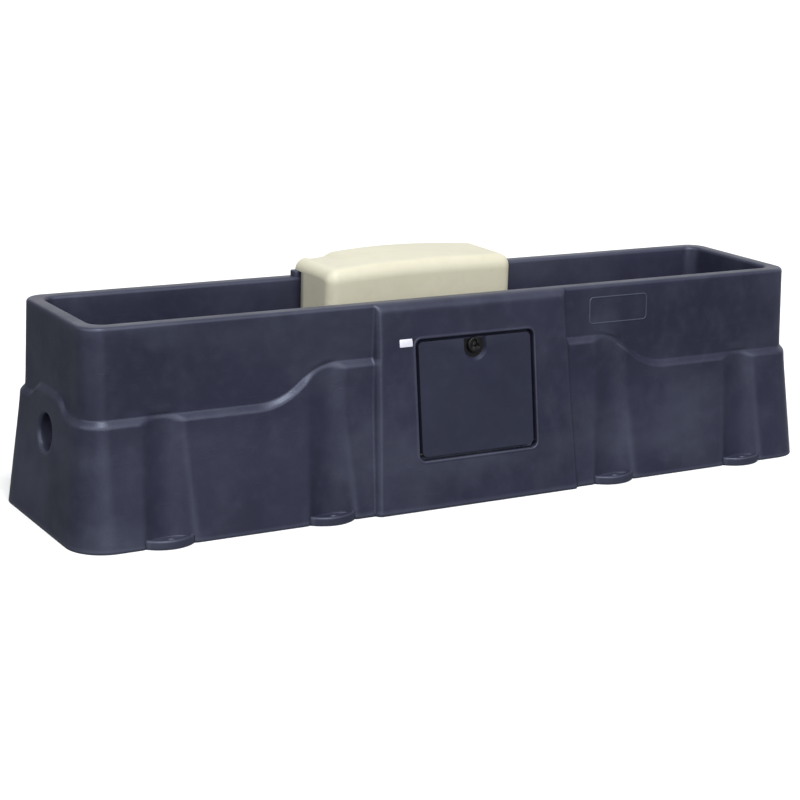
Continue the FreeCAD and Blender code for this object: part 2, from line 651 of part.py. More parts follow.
def make_float():
    """Lever, rod, lock nuts and hollow ball, all about the lever pivot."""
    droop, tilt = size("arm_droop"), size("lever_tilt")
    pivot = ("lever_pos", "valve_depth", "lever_high")
    down = Rotation(Vector(0, 1, 0), droop)
    along = down.multiply(ALONG_X)
    upright = Rotation(Vector(0, 1, 0), tilt)
    reach = size("valve_high - lever_high")

    def at(distance):
        angle = math.radians(droop)
        return (f"lever_pos + {distance} * {math.cos(angle):.6f}", "valve_depth",
                f"lever_high - {distance} * {math.sin(angle):.6f}")

    def bar(width, length, turn, depth="6"):
        item = doc.addObject("Part::Box", "Bar")
        bind(item, Length=length, Width=depth, Height=width)
        half = Vector(0, -size(depth) / 2, -size(width) / 2)
        item.Placement = Placement(Vector(*map(size, pivot)) + turn.multVec(half), turn)
        return item

    boss = rod("8", "6", ("lever_pos", "valve_depth - 3", "lever_high"), ALONG_Y)
    short = bar("4", str(reach), upright.multiply(Rotation(Vector(0, 1, 0), -90)))
    angle = math.radians(tilt)
    tip = rod("5", "6", (f"lever_pos + {reach * math.sin(angle):.6f}", "valve_depth - 3",
                         f"lever_high + {reach * math.cos(angle):.6f}"), ALONG_Y)
    socket = rod("7", "22", at(24), along)
    lever = joined([boss, short, tip, bar("12", "28", down), socket])
    holes = [
        rod("3.05", "20", ("lever_pos", "valve_depth - 10", "lever_high"), ALONG_Y),
        rod("rod_radius", "30", at(30), along),
    ]
    part(less(lever, holes), "float_lever")
    part(rod("rod_radius", "float_reach - float_radius - 30 + 12", at(30), along), "float_rod")
    shell = less(joined([ball("float_radius", at("float_reach")),
                         rod("9", "14", at("(float_reach - float_radius - 5)"), along)]),
                 [ball("float_radius - 2.5", at("float_reach"))])
    inner_boss = rod("9", "20", at("(float_reach - float_radius - 5)"), along)
    pocket = rod("rod_radius + 0.01", "20.1", at("(float_reach - float_radius - 8)"), along)
    part(less(joined([shell, inner_boss]), [pocket]), "float_ball")
    nuts = [nut("8", "rod_radius + running_gap", "6", at(place), along)
            for place in ("46.2", "(float_reach - float_radius - 11.2)")]
    group(nuts, "float_lock_nuts")


# ---------------------------------------------------------------- pipework
def elbow(corner, arms, bore):
    """Bent fitting: arms given as (radius, length, turn) out from a ball at the corner."""
    solids = [ball("pipe_radius + 1", corner)]
    spaces = [ball(bore, corner)]
    for radius, length, turn in arms:
        solids.append(rod(radius, length, corner, turn))
        spaces.append(rod(bore, f"{length} + 1", corner, turn))
    return less(joined(solids), spaces)


def make_stop_valve():
    """Two-piece ball valve with a quarter-turn lever."""
    centre = ("0", "stop_depth", "stop_high")
    body = joined([
        rod("stop_radius", "75", ("-45", "stop_depth", "stop_high"), ALONG_X),
        rod("10", "26", ("0", "stop_depth - 26", "stop_high"), ALONG_Y),
    ])
    bores = [
        rod("pipe_bore + 1", "80", ("-50", "stop_depth", "stop_high"), ALONG_X),
        ball("ball_radius + 0.3", centre),
        rod("ball_radius + 0.3", "40", centre, ALONG_X),
        rod("stem_radius + running_gap", "40", ("0", "stop_depth - 40", "stop_high"), ALONG_Y),
    ]
    part(less(body, bores), "stop_valve_body")
    adaptor = joined([
        rod("ball_radius + 0.2", "16", ("14", "stop_depth", "stop_high"), ALONG_X),
        rod("stop_radius", "15", ("30", "stop_depth", "stop_high"), ALONG_X),
    ])
    part(less(adaptor, [rod("pipe_bore + 1", "60", ("5", "stop_depth", "stop_high"), ALONG_X)]),
         "stop_valve_adaptor")
    drilled = [
        rod("pipe_bore + 1", "40", ("-20", "stop_depth", "stop_high"), ALONG_X),
        rod("stem_radius", "10", ("0", "stop_depth - 20", "stop_high"), ALONG_Y),
    ]
    part(less(ball("ball_radius", centre, ALONG_X), drilled), "stop_valve_ball")
    part(rod("stem_radius", "37", ("0", "stop_depth - 47", "stop_high"), ALONG_Y), "stop_valve_stem")
    part(nut("10.5", "stem_radius + running_gap", "7", ("0", "stop_depth - 33", "stop_high"), ALONG_Y),
         "stop_valve_packing_nut")
    blade = joined([
        box(("0", "stop_depth - 39", "stop_high - 9"), ("handle_reach", "stop_depth - 35", "stop_high + 9")),
        rod("9", "4", ("0", "stop_depth - 39", "stop_high"), ALONG_Y),
    ])
    part(less(blade, [rod("stem_radius", "10", ("0", "stop_depth - 42", "stop_high"), ALONG_Y)]),
         "stop_valve_lever")
    grip = box(("handle_reach - 62", "stop_depth - 42", "stop_high - 12"),
               ("handle_reach + 3", "stop_depth - 32", "stop_high + 12"))
    core = box(("handle_reach - 62", "stop_depth - 39", "stop_high - 9"),
               ("handle_reach", "stop_depth - 35", "stop_high + 9"))
    part(less(grip, [core]), "lever_grip")
    part(nut("8", "stem_radius", "5", ("0", "stop_depth - 44", "stop_high"), ALONG_Y), "lever_nut")


def make_pipes():
    """Supply pipe and elbows each side of the stop valve, with their nuts and bracket."""
    up, down = ALONG_Z, Rotation(Vector(1, 0, 0), 180)
    back = Rotation(Vector(0, 1, 0), -90)
    bend = elbow(("inlet_pos", "stop_depth", "stop_high"),
                 [("pipe_radius", "-inlet_pos - 45", ALONG_X), ("pipe_radius", "45", down)],
                 "pipe_bore")
    part(bend, "inlet_elbow")
    riser = joined([
        rod("14", "stop_high - 45 - 30", ("inlet_pos", "stop_depth", "30"), up),
        hexagon("20", "16", ("inlet_pos", "stop_depth", "72"), up),
    ])
    channels = [
        rod("10", "32", ("inlet_pos", "stop_depth", "30"), up),
        rod("pipe_bore", "200", ("inlet_pos", "stop_depth", "40"), up),
    ]
    part(less(riser, channels), "inlet_riser")
    drop = elbow(("outlet_pos", "stop_depth", "stop_high"),
                 [("pipe_radius", "outlet_pos - 45", back), ("pipe_radius", "35", down),
                  ("hose_bore - 0.05", "80", down)], "4.5")
    part(drop, "outlet_elbow")
    group([nut("17", "pipe_radius + running_gap", "11", (place, "stop_depth", "stop_high"), ALONG_X)
           for place in ("-57", "46")], "union_nuts")
    bracket = joined([
        box(("-30", "pad_face - 4", "180"), ("30", "pad_face", "stop_high - stop_radius")),
        box(("-20", "stop_depth - 14", "stop_high - stop_radius - 4"),
            ("20", "pad_face", "stop_high - stop_radius")),
    ])
    bolts = ("-bracket_bolt_pos", "bracket_bolt_pos")
    bolt_holes = [rod("4.2", "20", (place, "pad_face - 10", "bracket_bolt_high"), ALONG_Y)
                  for place in bolts]
    part(less(bracket, bolt_holes), "valve_bracket")
    group([joined([hexagon("7.5", "6", (place, "pad_face - 10", "bracket_bolt_high"), ALONG_Y),
                   rod("4", "14", (place, "pad_face - 4", "bracket_bolt_high"), ALONG_Y)])
           for place in bolts], "bracket_bolts")
    tail = elbow(("valve_pos", "hose_tail_depth", "valve_high"),
                 [("pipe_radius - 1", "18", down), ("hose_bore - 0.05", "55", down)], "4")
    face = box(("valve_pos - 40", "100", "400"), ("valve_pos + 40", "boss_back + 9", "600"))
    mouth = rod("4", "20", ("valve_pos", "boss_back", "valve_high"), ALONG_Y)
    part(less(tail, [face, mouth]), "tail_elbow")


def make_hose():
    """Hose from the stop valve, under the basin floor and up the back of the trough."""
    low, bend = size("hose_low"), size("hose_bend")
    front = Vector(size("outlet_pos"), size("stop_depth"), low)
    back = Vector(size("valve_pos"), size("hose_tail_depth"), low)
    run = (back - front).normalize()
    rise = Vector(0, 0, 1)
    diagonal = math.sqrt(0.5)

    def corner(point, inward):
        start, end = point + rise * bend, point + inward * bend
        centre = start + inward * bend
        middle = centre - (inward + rise) * (bend * diagonal)
        return start, middle, end

    first, second = corner(front, run), corner(back, run * -1)
    top_front = Vector(front.x, front.y, size("hose_front_top"))
    top_back = Vector(back.x, back.y, size("hose_back_top"))
    path = Part.Wire([
        Part.makeLine(top_front, first[0]), Part.Arc(*first).toShape(),
        Part.makeLine(first[2], second[2]), Part.Arc(second[2], second[1], second[0]).toShape(),
        Part.makeLine(second[0], top_back),
    ])
    sweeps = []
    for radius in ("hose_radius", "hose_bore"):
        circle = Part.Wire(Part.makeCircle(size(radius), top_front, Vector(0, 0, -1)))
        sweeps.append(path.makePipeShell([circle], True, False))
    hose = solid(sweeps[0].cut(sweeps[1]), "Hose")
    part(hose, "supply_hose")
    clamps = [
        joined([
            ring("hose_radius + 1.6", "hose_radius", "9", (across, depth, level)),
            box((f"{across} - 4", f"{depth} {side} 10.4 - 5", level),
                (f"{across} + 4", f"{depth} {side} 10.4 + 5", f"{level} + 9")),
        ])
        for across, depth, level, side in (
            ("outlet_pos", "stop_depth", "185", "-"), ("valve_pos", "hose_tail_depth", "474", "-"),
        )
    ]
    core = [
        rod("hose_radius", "20", ("outlet_pos", "stop_depth", "180")),
        rod("hose_radius", "20", ("valve_pos", "hose_tail_depth", "470")),
    ]
    group([less(clamp, [space]) for clamp, space in zip(clamps, core)], "hose_clamps")
    heading = math.degrees(math.atan2(run.y, run.x))
    clips = []
    for share in (0.32, 0.68):
        spot = front + (back - front) * share
        clip = Part.makeCylinder(11.5, 14, Vector(-7, 0, low), Vector(1, 0, 0))
        clip = clip.fuse(Part.makeBox(14, 12, 52 - low, Vector(-7, -6, low)))
        clip = clip.fuse(Part.makeBox(14, 40, 3, Vector(-7, -20, 49)))
        clip = clip.cut(Part.makeCylinder(9.05, 20, Vector(-10, 0, low), Vector(1, 0, 0)))
        clip.Placement = Placement(Vector(spot.x, spot.y, 0), Rotation(Vector(0, 0, 1), heading))
        clips.append(solid(clip, "Clip"))
    group(clips, "hose_clips")


# ---------------------------------------------------------------- drain and label
def make_drain():
    """Drain fitting through the front wall of the basin, closed by a cap."""
    toward_front = Rotation(Vector(1, 0, 0), 90)
    inner_face = ("0", "drain_pad_back", "drain_high")
    part(turned("drain_fitting", [
        ("drain_bore", "-6"), ("30", "-6"), ("30", "-2"), ("drain_radius", "-2"),
        ("drain_radius", "65"), ("drain_bore", "65"),
    ], inner_face, toward_front), "drain_fitting")
    part(ring("30", "drain_radius + running_gap", "2", ("0", "drain_pad_back", "drain_high"), ALONG_Y),
         "drain_gasket")
    part(nut("30", "drain_radius + running_gap", "12", ("0", "drain_pad_front - 12", "drain_high"), ALONG_Y),
         "drain_backnut")
    part(turned("drain_cap", [
        ("0", "67"), ("drain_radius - 1", "67"), ("drain_radius + 0.4", "67"),
        ("drain_radius + 0.4", "38"), ("26", "38"), ("26", "71"), ("0", "71"),
    ], inner_face, toward_front), "drain_cap")
    part(turned("drain_o_ring", [
        ("drain_bore", "65.2"), ("drain_radius - 0.5", "65.2"), ("drain_radius - 0.5", "67"),
        ("drain_bore", "67"),
    ], inner_face, toward_front), "drain_o_ring")


def make_label():
    """Blank label beside the top of the door."""
    on_door(box(("-258.5", "-0.4", "487.5"), ("-215.5", "0", "510.5")), "blank_label")


def check_and_write():
    """Stop on anything that failed, then write one file for each sub-part."""
    doc.recompute()
    for item in doc.Objects:
        if "Invalid" in item.State or "Error" in item.State:
            raise RuntimeError(f"{item.Label} failed to build")
    os.makedirs("parts", exist_ok=True)
    for item in parts:
        if item.Shape.isNull() or not item.Shape.isValid():
            raise RuntimeError(f"{item.Label} has no valid shape")
        item.Shape.exportStep(f"parts/{item.Label}.step")
        print(item.Label, len(item.Shape.Solids), round(item.Shape.Volume / 1000, 2))


make_body()
make_door()
make_latch()
make_cover()
make_valve()
make_float()
make_stop_valve()
make_pipes()
make_hose()
make_drain()
make_label()
check_and_write()
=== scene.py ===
import math

import bmesh
import bpy
import numpy as np
from mathutils import Matrix, Vector


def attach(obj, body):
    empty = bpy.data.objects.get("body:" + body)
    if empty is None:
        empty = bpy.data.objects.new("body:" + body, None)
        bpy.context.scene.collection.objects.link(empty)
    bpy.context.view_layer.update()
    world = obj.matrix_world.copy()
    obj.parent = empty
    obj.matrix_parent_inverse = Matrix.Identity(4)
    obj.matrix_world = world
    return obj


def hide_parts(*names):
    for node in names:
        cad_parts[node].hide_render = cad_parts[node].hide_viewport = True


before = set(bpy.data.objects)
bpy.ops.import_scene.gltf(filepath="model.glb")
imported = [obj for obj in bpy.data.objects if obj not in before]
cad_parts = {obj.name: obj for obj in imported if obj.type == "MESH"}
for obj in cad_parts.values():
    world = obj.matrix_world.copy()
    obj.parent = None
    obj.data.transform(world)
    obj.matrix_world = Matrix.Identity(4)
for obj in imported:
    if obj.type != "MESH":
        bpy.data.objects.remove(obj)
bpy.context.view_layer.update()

MM = 0.001

# ---------------------------------------------------------------- sizes of the moulding (mm)
HEIGHT = 610.0
STRAIGHT = 1154.0                 # half length of the straight part of each long side
RIM_A, RIM_B = 1215.0, 246.5      # half plan sizes at the rim
LEDGE_A, LEDGE_B = 1218.0, 260.5  # and at the ledge height
LEDGE_LOW, LEDGE_HIGH = 356.0, 455.0
LEDGE_STEP, LEDGE_DROP, LEDGE_SLOPE = 13.5, 19.0, 16.0
SWOOP_LOW_END, SWOOP_HIGH_END = 710.0, 440.0
ARCH_HIGH, ARCH_HALF_FLAT, ARCH_HALF_END = 397.0, 60.0, 170.0
BASE_A, BASE_B = 1263.5, 331.5
BASIN_A, BASIN_B, BASIN_R = 1169.0, 199.5, 40.0
FLOOR_A, FLOOR_B, FLOOR_Z = 1125.0, 170.0, 60.0
WALL = 8.0
RIM_ROUND = 11.0
FLUTE_R, FLUTE_BASE = 120.0, 425.0
FOOT_R, FOOT_REACH, FOOT_Z, FOOT_BOLT_R, FOOT_BOLT_Y = 104.0, 358.5, 26.0, 9.0, 335.0
FOOT_DISH = 5.0
FEET_X = (-1000.0, -495.0, 495.0, 1000.0)
FOOT_EDGE, FOOT_CHAMFER = 6.0, 1.5
BASIN_FILLET = 34.0
COVER_SEAT = (-355, 310, 205.5, 243, 600, 627, 8, 4)     # left, right, front, back, low, high, corner, edge
BRACKET_PAD = (-36, 36, -206, -192, 172, 212, 6, 3)
VALVE_BOSS = ((-250, 520), 30, 183, 205, 3, 14.2)        # centre, radius, front, back, edge, hole
DRAIN_PAD = ((0, 95), 38, -184, -160, 3, 19.2)
OUTLINE_LEFT, OUTLINE_RIGHT, OUTLINE_LOW, OUTLINE_HIGH, OUTLINE_CORNER = 423, 642, 489, 574, 15
OUTLINE_BEAD = ((0, -0.4), (2.5, 2.0), (5, -0.4))        # inset and lift across the raised outline
ENTRY_R, ENTRY_Z, ENTRY_DEEP, ENTRY_LIP = 52.5, 268.0, 60.0, 12.0
BLANK_R, BLANK_DEEP = 50.0, 18.0
PANEL_FRONT, PANEL_LEAN = 346.0, math.radians(8.25)
PANEL_BASE, PANEL_RIM, PANEL_ROLL, PANEL_EDGE = 355.0, 330.0, 30.0, 20.0
RECESS_HALF, RECESS_LOW, RECESS_HIGH, RECESS_DEEP = 205.0, 146.5, 505.2, 22.0
RECESS_R, RECESS_LIP, RECESS_BEAD, SEAT_FLANGE = 20.0, 4.0, 1.2, 30.0

# ---------------------------------------------------------------- rows and columns of the body grid
LOWER_ROWS = 44
LEDGE_ROWS = 16
UPPER_ROWS = 14
ROLL_ROWS = 9
INNER_ROLL_ROWS = 7
BASIN_ROWS = 18
FLOOR_ROWS = 8
LEDGE_BELOW, LEDGE_ABOVE = 25.0, 8.0
RECESS_FIRST_ROW = 13
RECESS_LAST_ROW = LOWER_ROWS + LEDGE_ROWS + 7
RECESS_EDGE = 222.0
ENTRY_FIRST_ROW, ENTRY_LAST_ROW = 22, 41
ENTRY_EDGE = 0.4
BASIN_TOP_ROW = LOWER_ROWS + LEDGE_ROWS + UPPER_ROWS + ROLL_ROWS + INNER_ROLL_ROWS - 1
DRAIN_FIRST_ROW, DRAIN_LAST_ROW = BASIN_TOP_ROW + 16, BASIN_TOP_ROW + BASIN_ROWS + 5
DRAIN_EDGE, DRAIN_Z, DRAIN_R = 46.5, 95.0, 19.1
WARP_FROM, WARP_TO = 240, 440     # columns between these follow the panel's edges


def smooth_max(a, b, blend):
    """Larger of two values, with the corner between them rounded."""
    part = np.clip(0.5 + 0.5 * (a - b) / blend, 0, 1)
    return b * (1 - part) + a * part + blend * part * (1 - part)


def smooth_min(a, b, blend):
    """Smaller of two values, with the corner between them rounded."""
    return -smooth_max(-a, -b, blend)


def swoop(value, low_end, high_end, low, high):
    """Two tangent arcs from the low level to the high one."""
    run, rise = abs(low_end - high_end), high - low
    radius = ((run / 2) ** 2 + (rise / 2) ** 2) / rise
    along = np.clip(np.abs(value - low_end) * np.sign((high_end - low_end) * (value - low_end)), 0, run)
    first = radius - np.sqrt(np.maximum(radius ** 2 - along ** 2, 0))
    second = rise - radius + np.sqrt(np.maximum(radius ** 2 - (run - along) ** 2, 0))
    return low + np.where(along < run / 2, first, second)


def ledge_level(columns):
    """Height of the ledge line in each column."""
    side = swoop(np.abs(columns["x"]), SWOOP_LOW_END, SWOOP_HIGH_END, LEDGE_LOW, LEDGE_HIGH)
    end_y = columns["fy"] * 211.0
    end = swoop(np.abs(end_y), ARCH_HALF_END, ARCH_HALF_FLAT, LEDGE_LOW, ARCH_HIGH)
    return np.where(columns["side"] == 1, side, np.where(columns["side"] == 2, end, LEDGE_LOW))


def spaced(stops, step):
    """Positions through stops, given as (place, spacing from there on)."""
    places = []
    for (start, gap), (end, _) in zip(stops, stops[1:]):
        count = max(1, int(round((end - start) / gap)))
        places += [start + (end - start) * k / count for k in range(count)]
    places.append(stops[-1][0])
    return np.array(places) * step


def long_side():
    """Column places along a long side, denser at the feet and the panel's edges."""
    half = spaced([(0, 9.25), (222, 9), (240, 12), (312, 6), (324, 2.4), (343, 5), (358, 9), (417, 7),
                   (573, 12), (920, 7), (1080, 10), (STRAIGHT, 1)], 1.0)
    return np.concatenate([-half[:0:-1], half])


def make_columns():
    """All columns round the body, as arrays: plan centre, normal and kind of side."""
    front = long_side()
    end = spaced([(-1, 0.05), (-ENTRY_EDGE, 0.04), (ENTRY_EDGE, 0.05), (1, 1)], 1.0)
    corner = np.linspace(0, math.pi / 2, 15)[1:-1]
    rows = []
    rows += [(x, -1, 0, -1, 1) for x in front]
    rows += [(STRAIGHT, -1, math.sin(t), -math.cos(t), 0) for t in corner]
    rows += [(STRAIGHT, v, 1, 0, 2) for v in end]
    rows += [(STRAIGHT, 1, math.cos(t), math.sin(t), 0) for t in corner]
    rows += [(x, 1, 0, 1, 1) for x in front[::-1]]
    rows += [(-STRAIGHT, 1, -math.sin(t), math.cos(t), 0) for t in corner]
    rows += [(-STRAIGHT, v, -1, 0, 2) for v in end[::-1]]
    rows += [(-STRAIGHT, -1, -math.cos(t), -math.sin(t), 0) for t in corner]
    table = np.array(rows, float)
    return {"x": table[:, 0], "fy": table[:, 1], "nx": table[:, 2], "ny": table[:, 3],
            "side": table[:, 4].astype(int)}


def upper_half_width(z):
    """Half width of the wall above the ledge, at height z."""
    return LEDGE_B + (LEDGE_LOW - z) * (LEDGE_B - RIM_B) / (HEIGHT - LEDGE_LOW)


def upper_half_length(z):
    """Half length of the wall above the ledge, at height z."""
    return LEDGE_A + (LEDGE_LOW - z) * (LEDGE_A - RIM_A) / (HEIGHT - LEDGE_LOW)


def wall_sizes(z, level):
    """Half length and half width of the outside at height z beside a ledge at level."""
    raw = (level - z) / LEDGE_SLOPE
    step = LEDGE_STEP * smooth_max(smooth_min(raw, 1.0, 0.36), 0.0, 0.16)
    kink = LEDGE_LOW - LEDGE_DROP
    below = smooth_max(kink - z, 0.0, 60.0)
    flare_a = (BASE_A - upper_half_length(0) - LEDGE_STEP) / kink
    flare_b = (BASE_B - upper_half_width(0) - LEDGE_STEP) / kink
    return (upper_half_length(z) + step + flare_a * below, upper_half_width(z) + step + flare_b * below)


def fluted(x, y, z, level):
    """Pull the long sides in where a flute rises from a foot; y is the distance from the middle."""
    for foot in FEET_X:
        top = level
        lean = (FLUTE_BASE - upper_half_width(top) - FLUTE_R) / top
        axis = FLUTE_BASE - lean * z
        reach = np.sqrt(np.maximum(FLUTE_R ** 2 - (x - foot) ** 2, 1e-6))
        hollow = np.where(np.abs(x - foot) < FLUTE_R, axis - reach, 1e4)
        floor = smooth_max(hollow, upper_half_width(z), 5.0)
        y = np.where(np.abs(x - foot) < FLUTE_R, smooth_min(y, floor, 9.0), y)
    return y


def body_rows(columns):
    """Profile rows from the ground up the outside, over the rim and down into the basin."""
    level = ledge_level(columns)
    rows = []

    def outside(z):
        a, b = wall_sizes(z, level)
        rows.append((a, b, a - STRAIGHT, z))

    for k in range(LOWER_ROWS):
        outside((level - LEDGE_BELOW) * k / LOWER_ROWS)
    for k in range(LEDGE_ROWS):
        outside(level - LEDGE_BELOW + (LEDGE_BELOW + LEDGE_ABOVE) * k / LEDGE_ROWS)
    low, high = level + LEDGE_ABOVE, HEIGHT - RIM_ROUND
    for k in range(UPPER_ROWS):
        outside(low + (high - low) * k / UPPER_ROWS)
    a, b = wall_sizes(high * np.ones_like(level), level)
    for k in range(ROLL_ROWS):
        turn = math.pi / 2 * k / (ROLL_ROWS - 1)
        back, up = RIM_ROUND * (1 - math.cos(turn)), RIM_ROUND * math.sin(turn)
        rows.append((a - back, b - back, a - STRAIGHT - back, high + up + 0 * level))
    for k in range(INNER_ROLL_ROWS):
        turn = math.pi / 2 * k / (INNER_ROLL_ROWS - 1)
        back, down = RIM_ROUND * (1 - math.sin(turn)), RIM_ROUND * (1 - math.cos(turn))
        one = np.ones_like(level)
        rows.append(((BASIN_A + back) * one, (BASIN_B + back) * one,
                     (BASIN_R + back) * one, (HEIGHT - down) * one))
    return level, rows


def basin_rows(one):
    """Rows down the basin wall, round the fillet at its foot and in over the floor."""
    rows = []
    top, low = HEIGHT - RIM_ROUND, FLOOR_Z + BASIN_FILLET
    for k in range(1, BASIN_ROWS + 1):
        share = k / BASIN_ROWS
        z = top + (low - top) * share
        inset = share * (BASIN_B - FLOOR_B)
        inset_a = share * (BASIN_A - FLOOR_A)
        rows.append(((BASIN_A - inset_a) * one, (BASIN_B - inset) * one, BASIN_R * one, z * one))
    for k in range(1, FLOOR_ROWS + 1):
        turn = math.pi / 2 * k / FLOOR_ROWS
        back, down = BASIN_FILLET * (1 - math.cos(turn)), BASIN_FILLET * math.sin(turn)
        rows.append(((FLOOR_A - back) * one, (FLOOR_B - back) * one,
                     (BASIN_R - back) * one, (low - down) * one))
    for inset in (60.0, 95.0, 125.0):
        rows.append(((FLOOR_A - inset) * one, (FLOOR_B - inset) * one, 4.0 * one,
                     (FLOOR_Z - 0.02 * (inset - BASIN_FILLET)) * one))
    return rows


def panel_edge(z):
    """Half width of the front panel at height z."""
    return PANEL_BASE + (PANEL_RIM - PANEL_BASE) * z / HEIGHT


def warped(x, z):
    """Column places near the panel's slanting edges follow them."""
    middle = (PANEL_BASE + PANEL_RIM) / 2
    size = np.abs(x)
    inner = WARP_FROM + (size - WARP_FROM) * (panel_edge(z) - WARP_FROM) / (middle - WARP_FROM)
    outer = WARP_TO + (size - WARP_TO) * (WARP_TO - panel_edge(z)) / (WARP_TO - middle)
    past = np.where(size < middle, inner, np.where(size < WARP_TO, outer, size))
    return np.sign(x) * np.where(size < WARP_FROM, size, past)


def panel_profile(rows_z, level):
    """Panel face as (distance from the middle, height) for each row from the ground to the rim."""
    top = HEIGHT - PANEL_ROLL + PANEL_ROLL * math.sin(PANEL_LEAN)
    start = PANEL_FRONT - top * math.tan(PANEL_LEAN)
    centre = (start - PANEL_ROLL * math.cos(PANEL_LEAN), HEIGHT - PANEL_ROLL)
    profile = []
    wall_rows = LOWER_ROWS + LEDGE_ROWS + UPPER_ROWS
    for k in range(wall_rows):
        z = rows_z[k]
        if k >= LOWER_ROWS + LEDGE_ROWS:
            share = (k - LOWER_ROWS - LEDGE_ROWS) / UPPER_ROWS
            z = level + LEDGE_ABOVE + (top - level - LEDGE_ABOVE) * share
        profile.append((PANEL_FRONT - z * math.tan(PANEL_LEAN), z))
    for k in range(ROLL_ROWS):
        turn = PANEL_LEAN + (math.pi / 2 - PANEL_LEAN) * k / (ROLL_ROWS - 1)
        profile.append((centre[0] + PANEL_ROLL * math.cos(turn) + 0 * level,
                        centre[1] + PANEL_ROLL * math.sin(turn) + 0 * level))
    return profile


def body_grid():
    """Positions of the body grid as an array [row, column, xyz] in millimetres."""
    columns = make_columns()
    level, rows = body_rows(columns)
    outer_count = LOWER_ROWS + LEDGE_ROWS + UPPER_ROWS + ROLL_ROWS
    rows += basin_rows(np.ones_like(level))
    profile = panel_profile([row[3] for row in rows], level)
    front = (columns["side"] == 1) & (columns["fy"] < 0)
    long = columns["side"] == 1
    grid = []
    for index, (a, b, r, z) in enumerate(rows):
        scale = (a - r) / STRAIGHT
        x = columns["x"] * scale + r * columns["nx"]
        y = columns["fy"] * (b - r) + r * columns["ny"]
        if index < outer_count:
            x = np.where(front, warped(x, z), x)
        if index < LOWER_ROWS + LEDGE_ROWS:
            size = fluted(x, np.abs(y), z, level)
            y = np.where(long, np.sign(y) * size, y)
        if index < outer_count:
            share = np.clip((panel_edge(z) - np.abs(x)) / PANEL_EDGE, 0, 1)
            share = np.where(front, 1 - (1 - share) ** 2.6, 0)
            depth, height = profile[index]
            y = y * (1 - share) - depth * share
            z = z * (1 - share) + height * share
        grid.append(np.stack([x, y, z], axis=1))
    return columns, np.array(grid)


# ---------------------------------------------------------------- mesh helpers
def quarter_turn(steps):
    """Angles from 0 to 90 degrees in equal steps, both ends included."""
    return [math.radians(90 * k / steps) for k in range(steps + 1)]


def full_turn(steps):
    """Angles round a full circle in equal steps, the last one left out."""
    return [2 * math.pi * k / steps for k in range(steps)]


class Shell:
    """Quad mesh under construction, in millimetres."""

    def __init__(self):
        self.points = []
        self.faces = []

    def add(self, points):
        """Add points and return their indices."""
        first = len(self.points)
        self.points += [tuple(float(c) for c in p) for p in points]
        return list(range(first, first + len(points)))

    def band(self, first, second, closed=True):
        """Quads between two loops that have the same number of points."""
        count = len(first)
        for k in range(count if closed else count - 1):
            n = (k + 1) % count
            self.faces.append((first[k], first[n], second[n], second[k]))

    def loops(self, rings, closed=True):
        """Bands through several loops of points; returns the index loops."""
        made = [self.add(ring) for ring in rings]
        for first, second in zip(made, made[1:]):
            self.band(first, second, closed)
        return made

    def strip(self, loop):
        """Close a loop that is the same on both sides of the line through its point 0."""
        count = len(loop)
        for k in range(count // 2):
            quad = (loop[k], loop[k + 1], loop[(count - k - 1) % count], loop[(count - k) % count])
            self.faces.append(tuple(dict.fromkeys(quad)))

    def object(self, name, place=None):
        """Smooth-shaded object in metres, its points moved by place if one is given."""
        points = [place(p) for p in self.points] if place else self.points
        mesh = bpy.data.meshes.new(name)
        mesh.from_pydata([[c * MM for c in p] for p in points], [], self.faces)
        mesh.update()
        mesh.shade_smooth()
        item = bpy.data.objects.new(name, mesh)
        bpy.context.scene.collection.objects.link(item)
        return item


def outward(item):
    """Turn every face of a closed mesh outwards."""
    gathered = bmesh.new()
    gathered.from_mesh(item.data)
    bmesh.ops.recalc_face_normals(gathered, faces=gathered.faces)
    gathered.to_mesh(item.data)
    gathered.free()
    return item


def settled(item):
    """Give the object its mesh with the modifiers applied."""
    bpy.context.view_layer.update()
    graph = bpy.context.evaluated_depsgraph_get()
    made = bpy.data.meshes.new_from_object(item.evaluated_get(graph))
    item.modifiers.clear()
    item.data = made
    return item


def thickened(item, thickness):
    """Turn an open shell into a wall that grows away from its outer side."""
    wall = item.modifiers.new("Wall", "SOLIDIFY")
    wall.thickness = thickness * MM
    wall.offset = -1
    wall.use_rim = True
    return settled(item)


def bevelled(item, width, segments=3, limit=38):
    """Round the edges that are sharper than the limit, in degrees."""
    edge = item.modifiers.new("Edges", "BEVEL")
    edge.width = width * MM
    edge.segments = segments
    edge.limit_method = "ANGLE"
    edge.angle_limit = math.radians(limit)
    edge.miter_outer = "MITER_ARC"
    settled(item)
    item.data.shade_smooth()
    item.data.set_sharp_from_angle(angle=math.radians(44))
    return item


def cut(item, tools, operation="DIFFERENCE"):
    """Boolean with several tools, which are used up."""
    for tool in tools:
        step = item.modifiers.new("Cut", "BOOLEAN")
        step.operation = operation
        step.solver = "EXACT"
        step.object = tool
        settled(item)
        bpy.data.objects.remove(tool)
    return item


def merged(name, items):
    """One object from several, each keeping its faces as they are."""
    gathered = bmesh.new()
    for item in items:
        gathered.from_mesh(item.data)
    mesh = bpy.data.meshes.new(name)
    gathered.to_mesh(mesh)
    gathered.free()
    for item in items:
        bpy.data.objects.remove(item)
    made = bpy.data.objects.new(name, mesh)
    bpy.context.scene.collection.objects.link(made)
    return made


def placed(item, place):
    """Move every point of an object through a function of millimetres."""
    for vertex in item.data.vertices:
        vertex.co = Vector(place(vertex.co / MM)) * MM
    item.data.update()
    return outward(item)


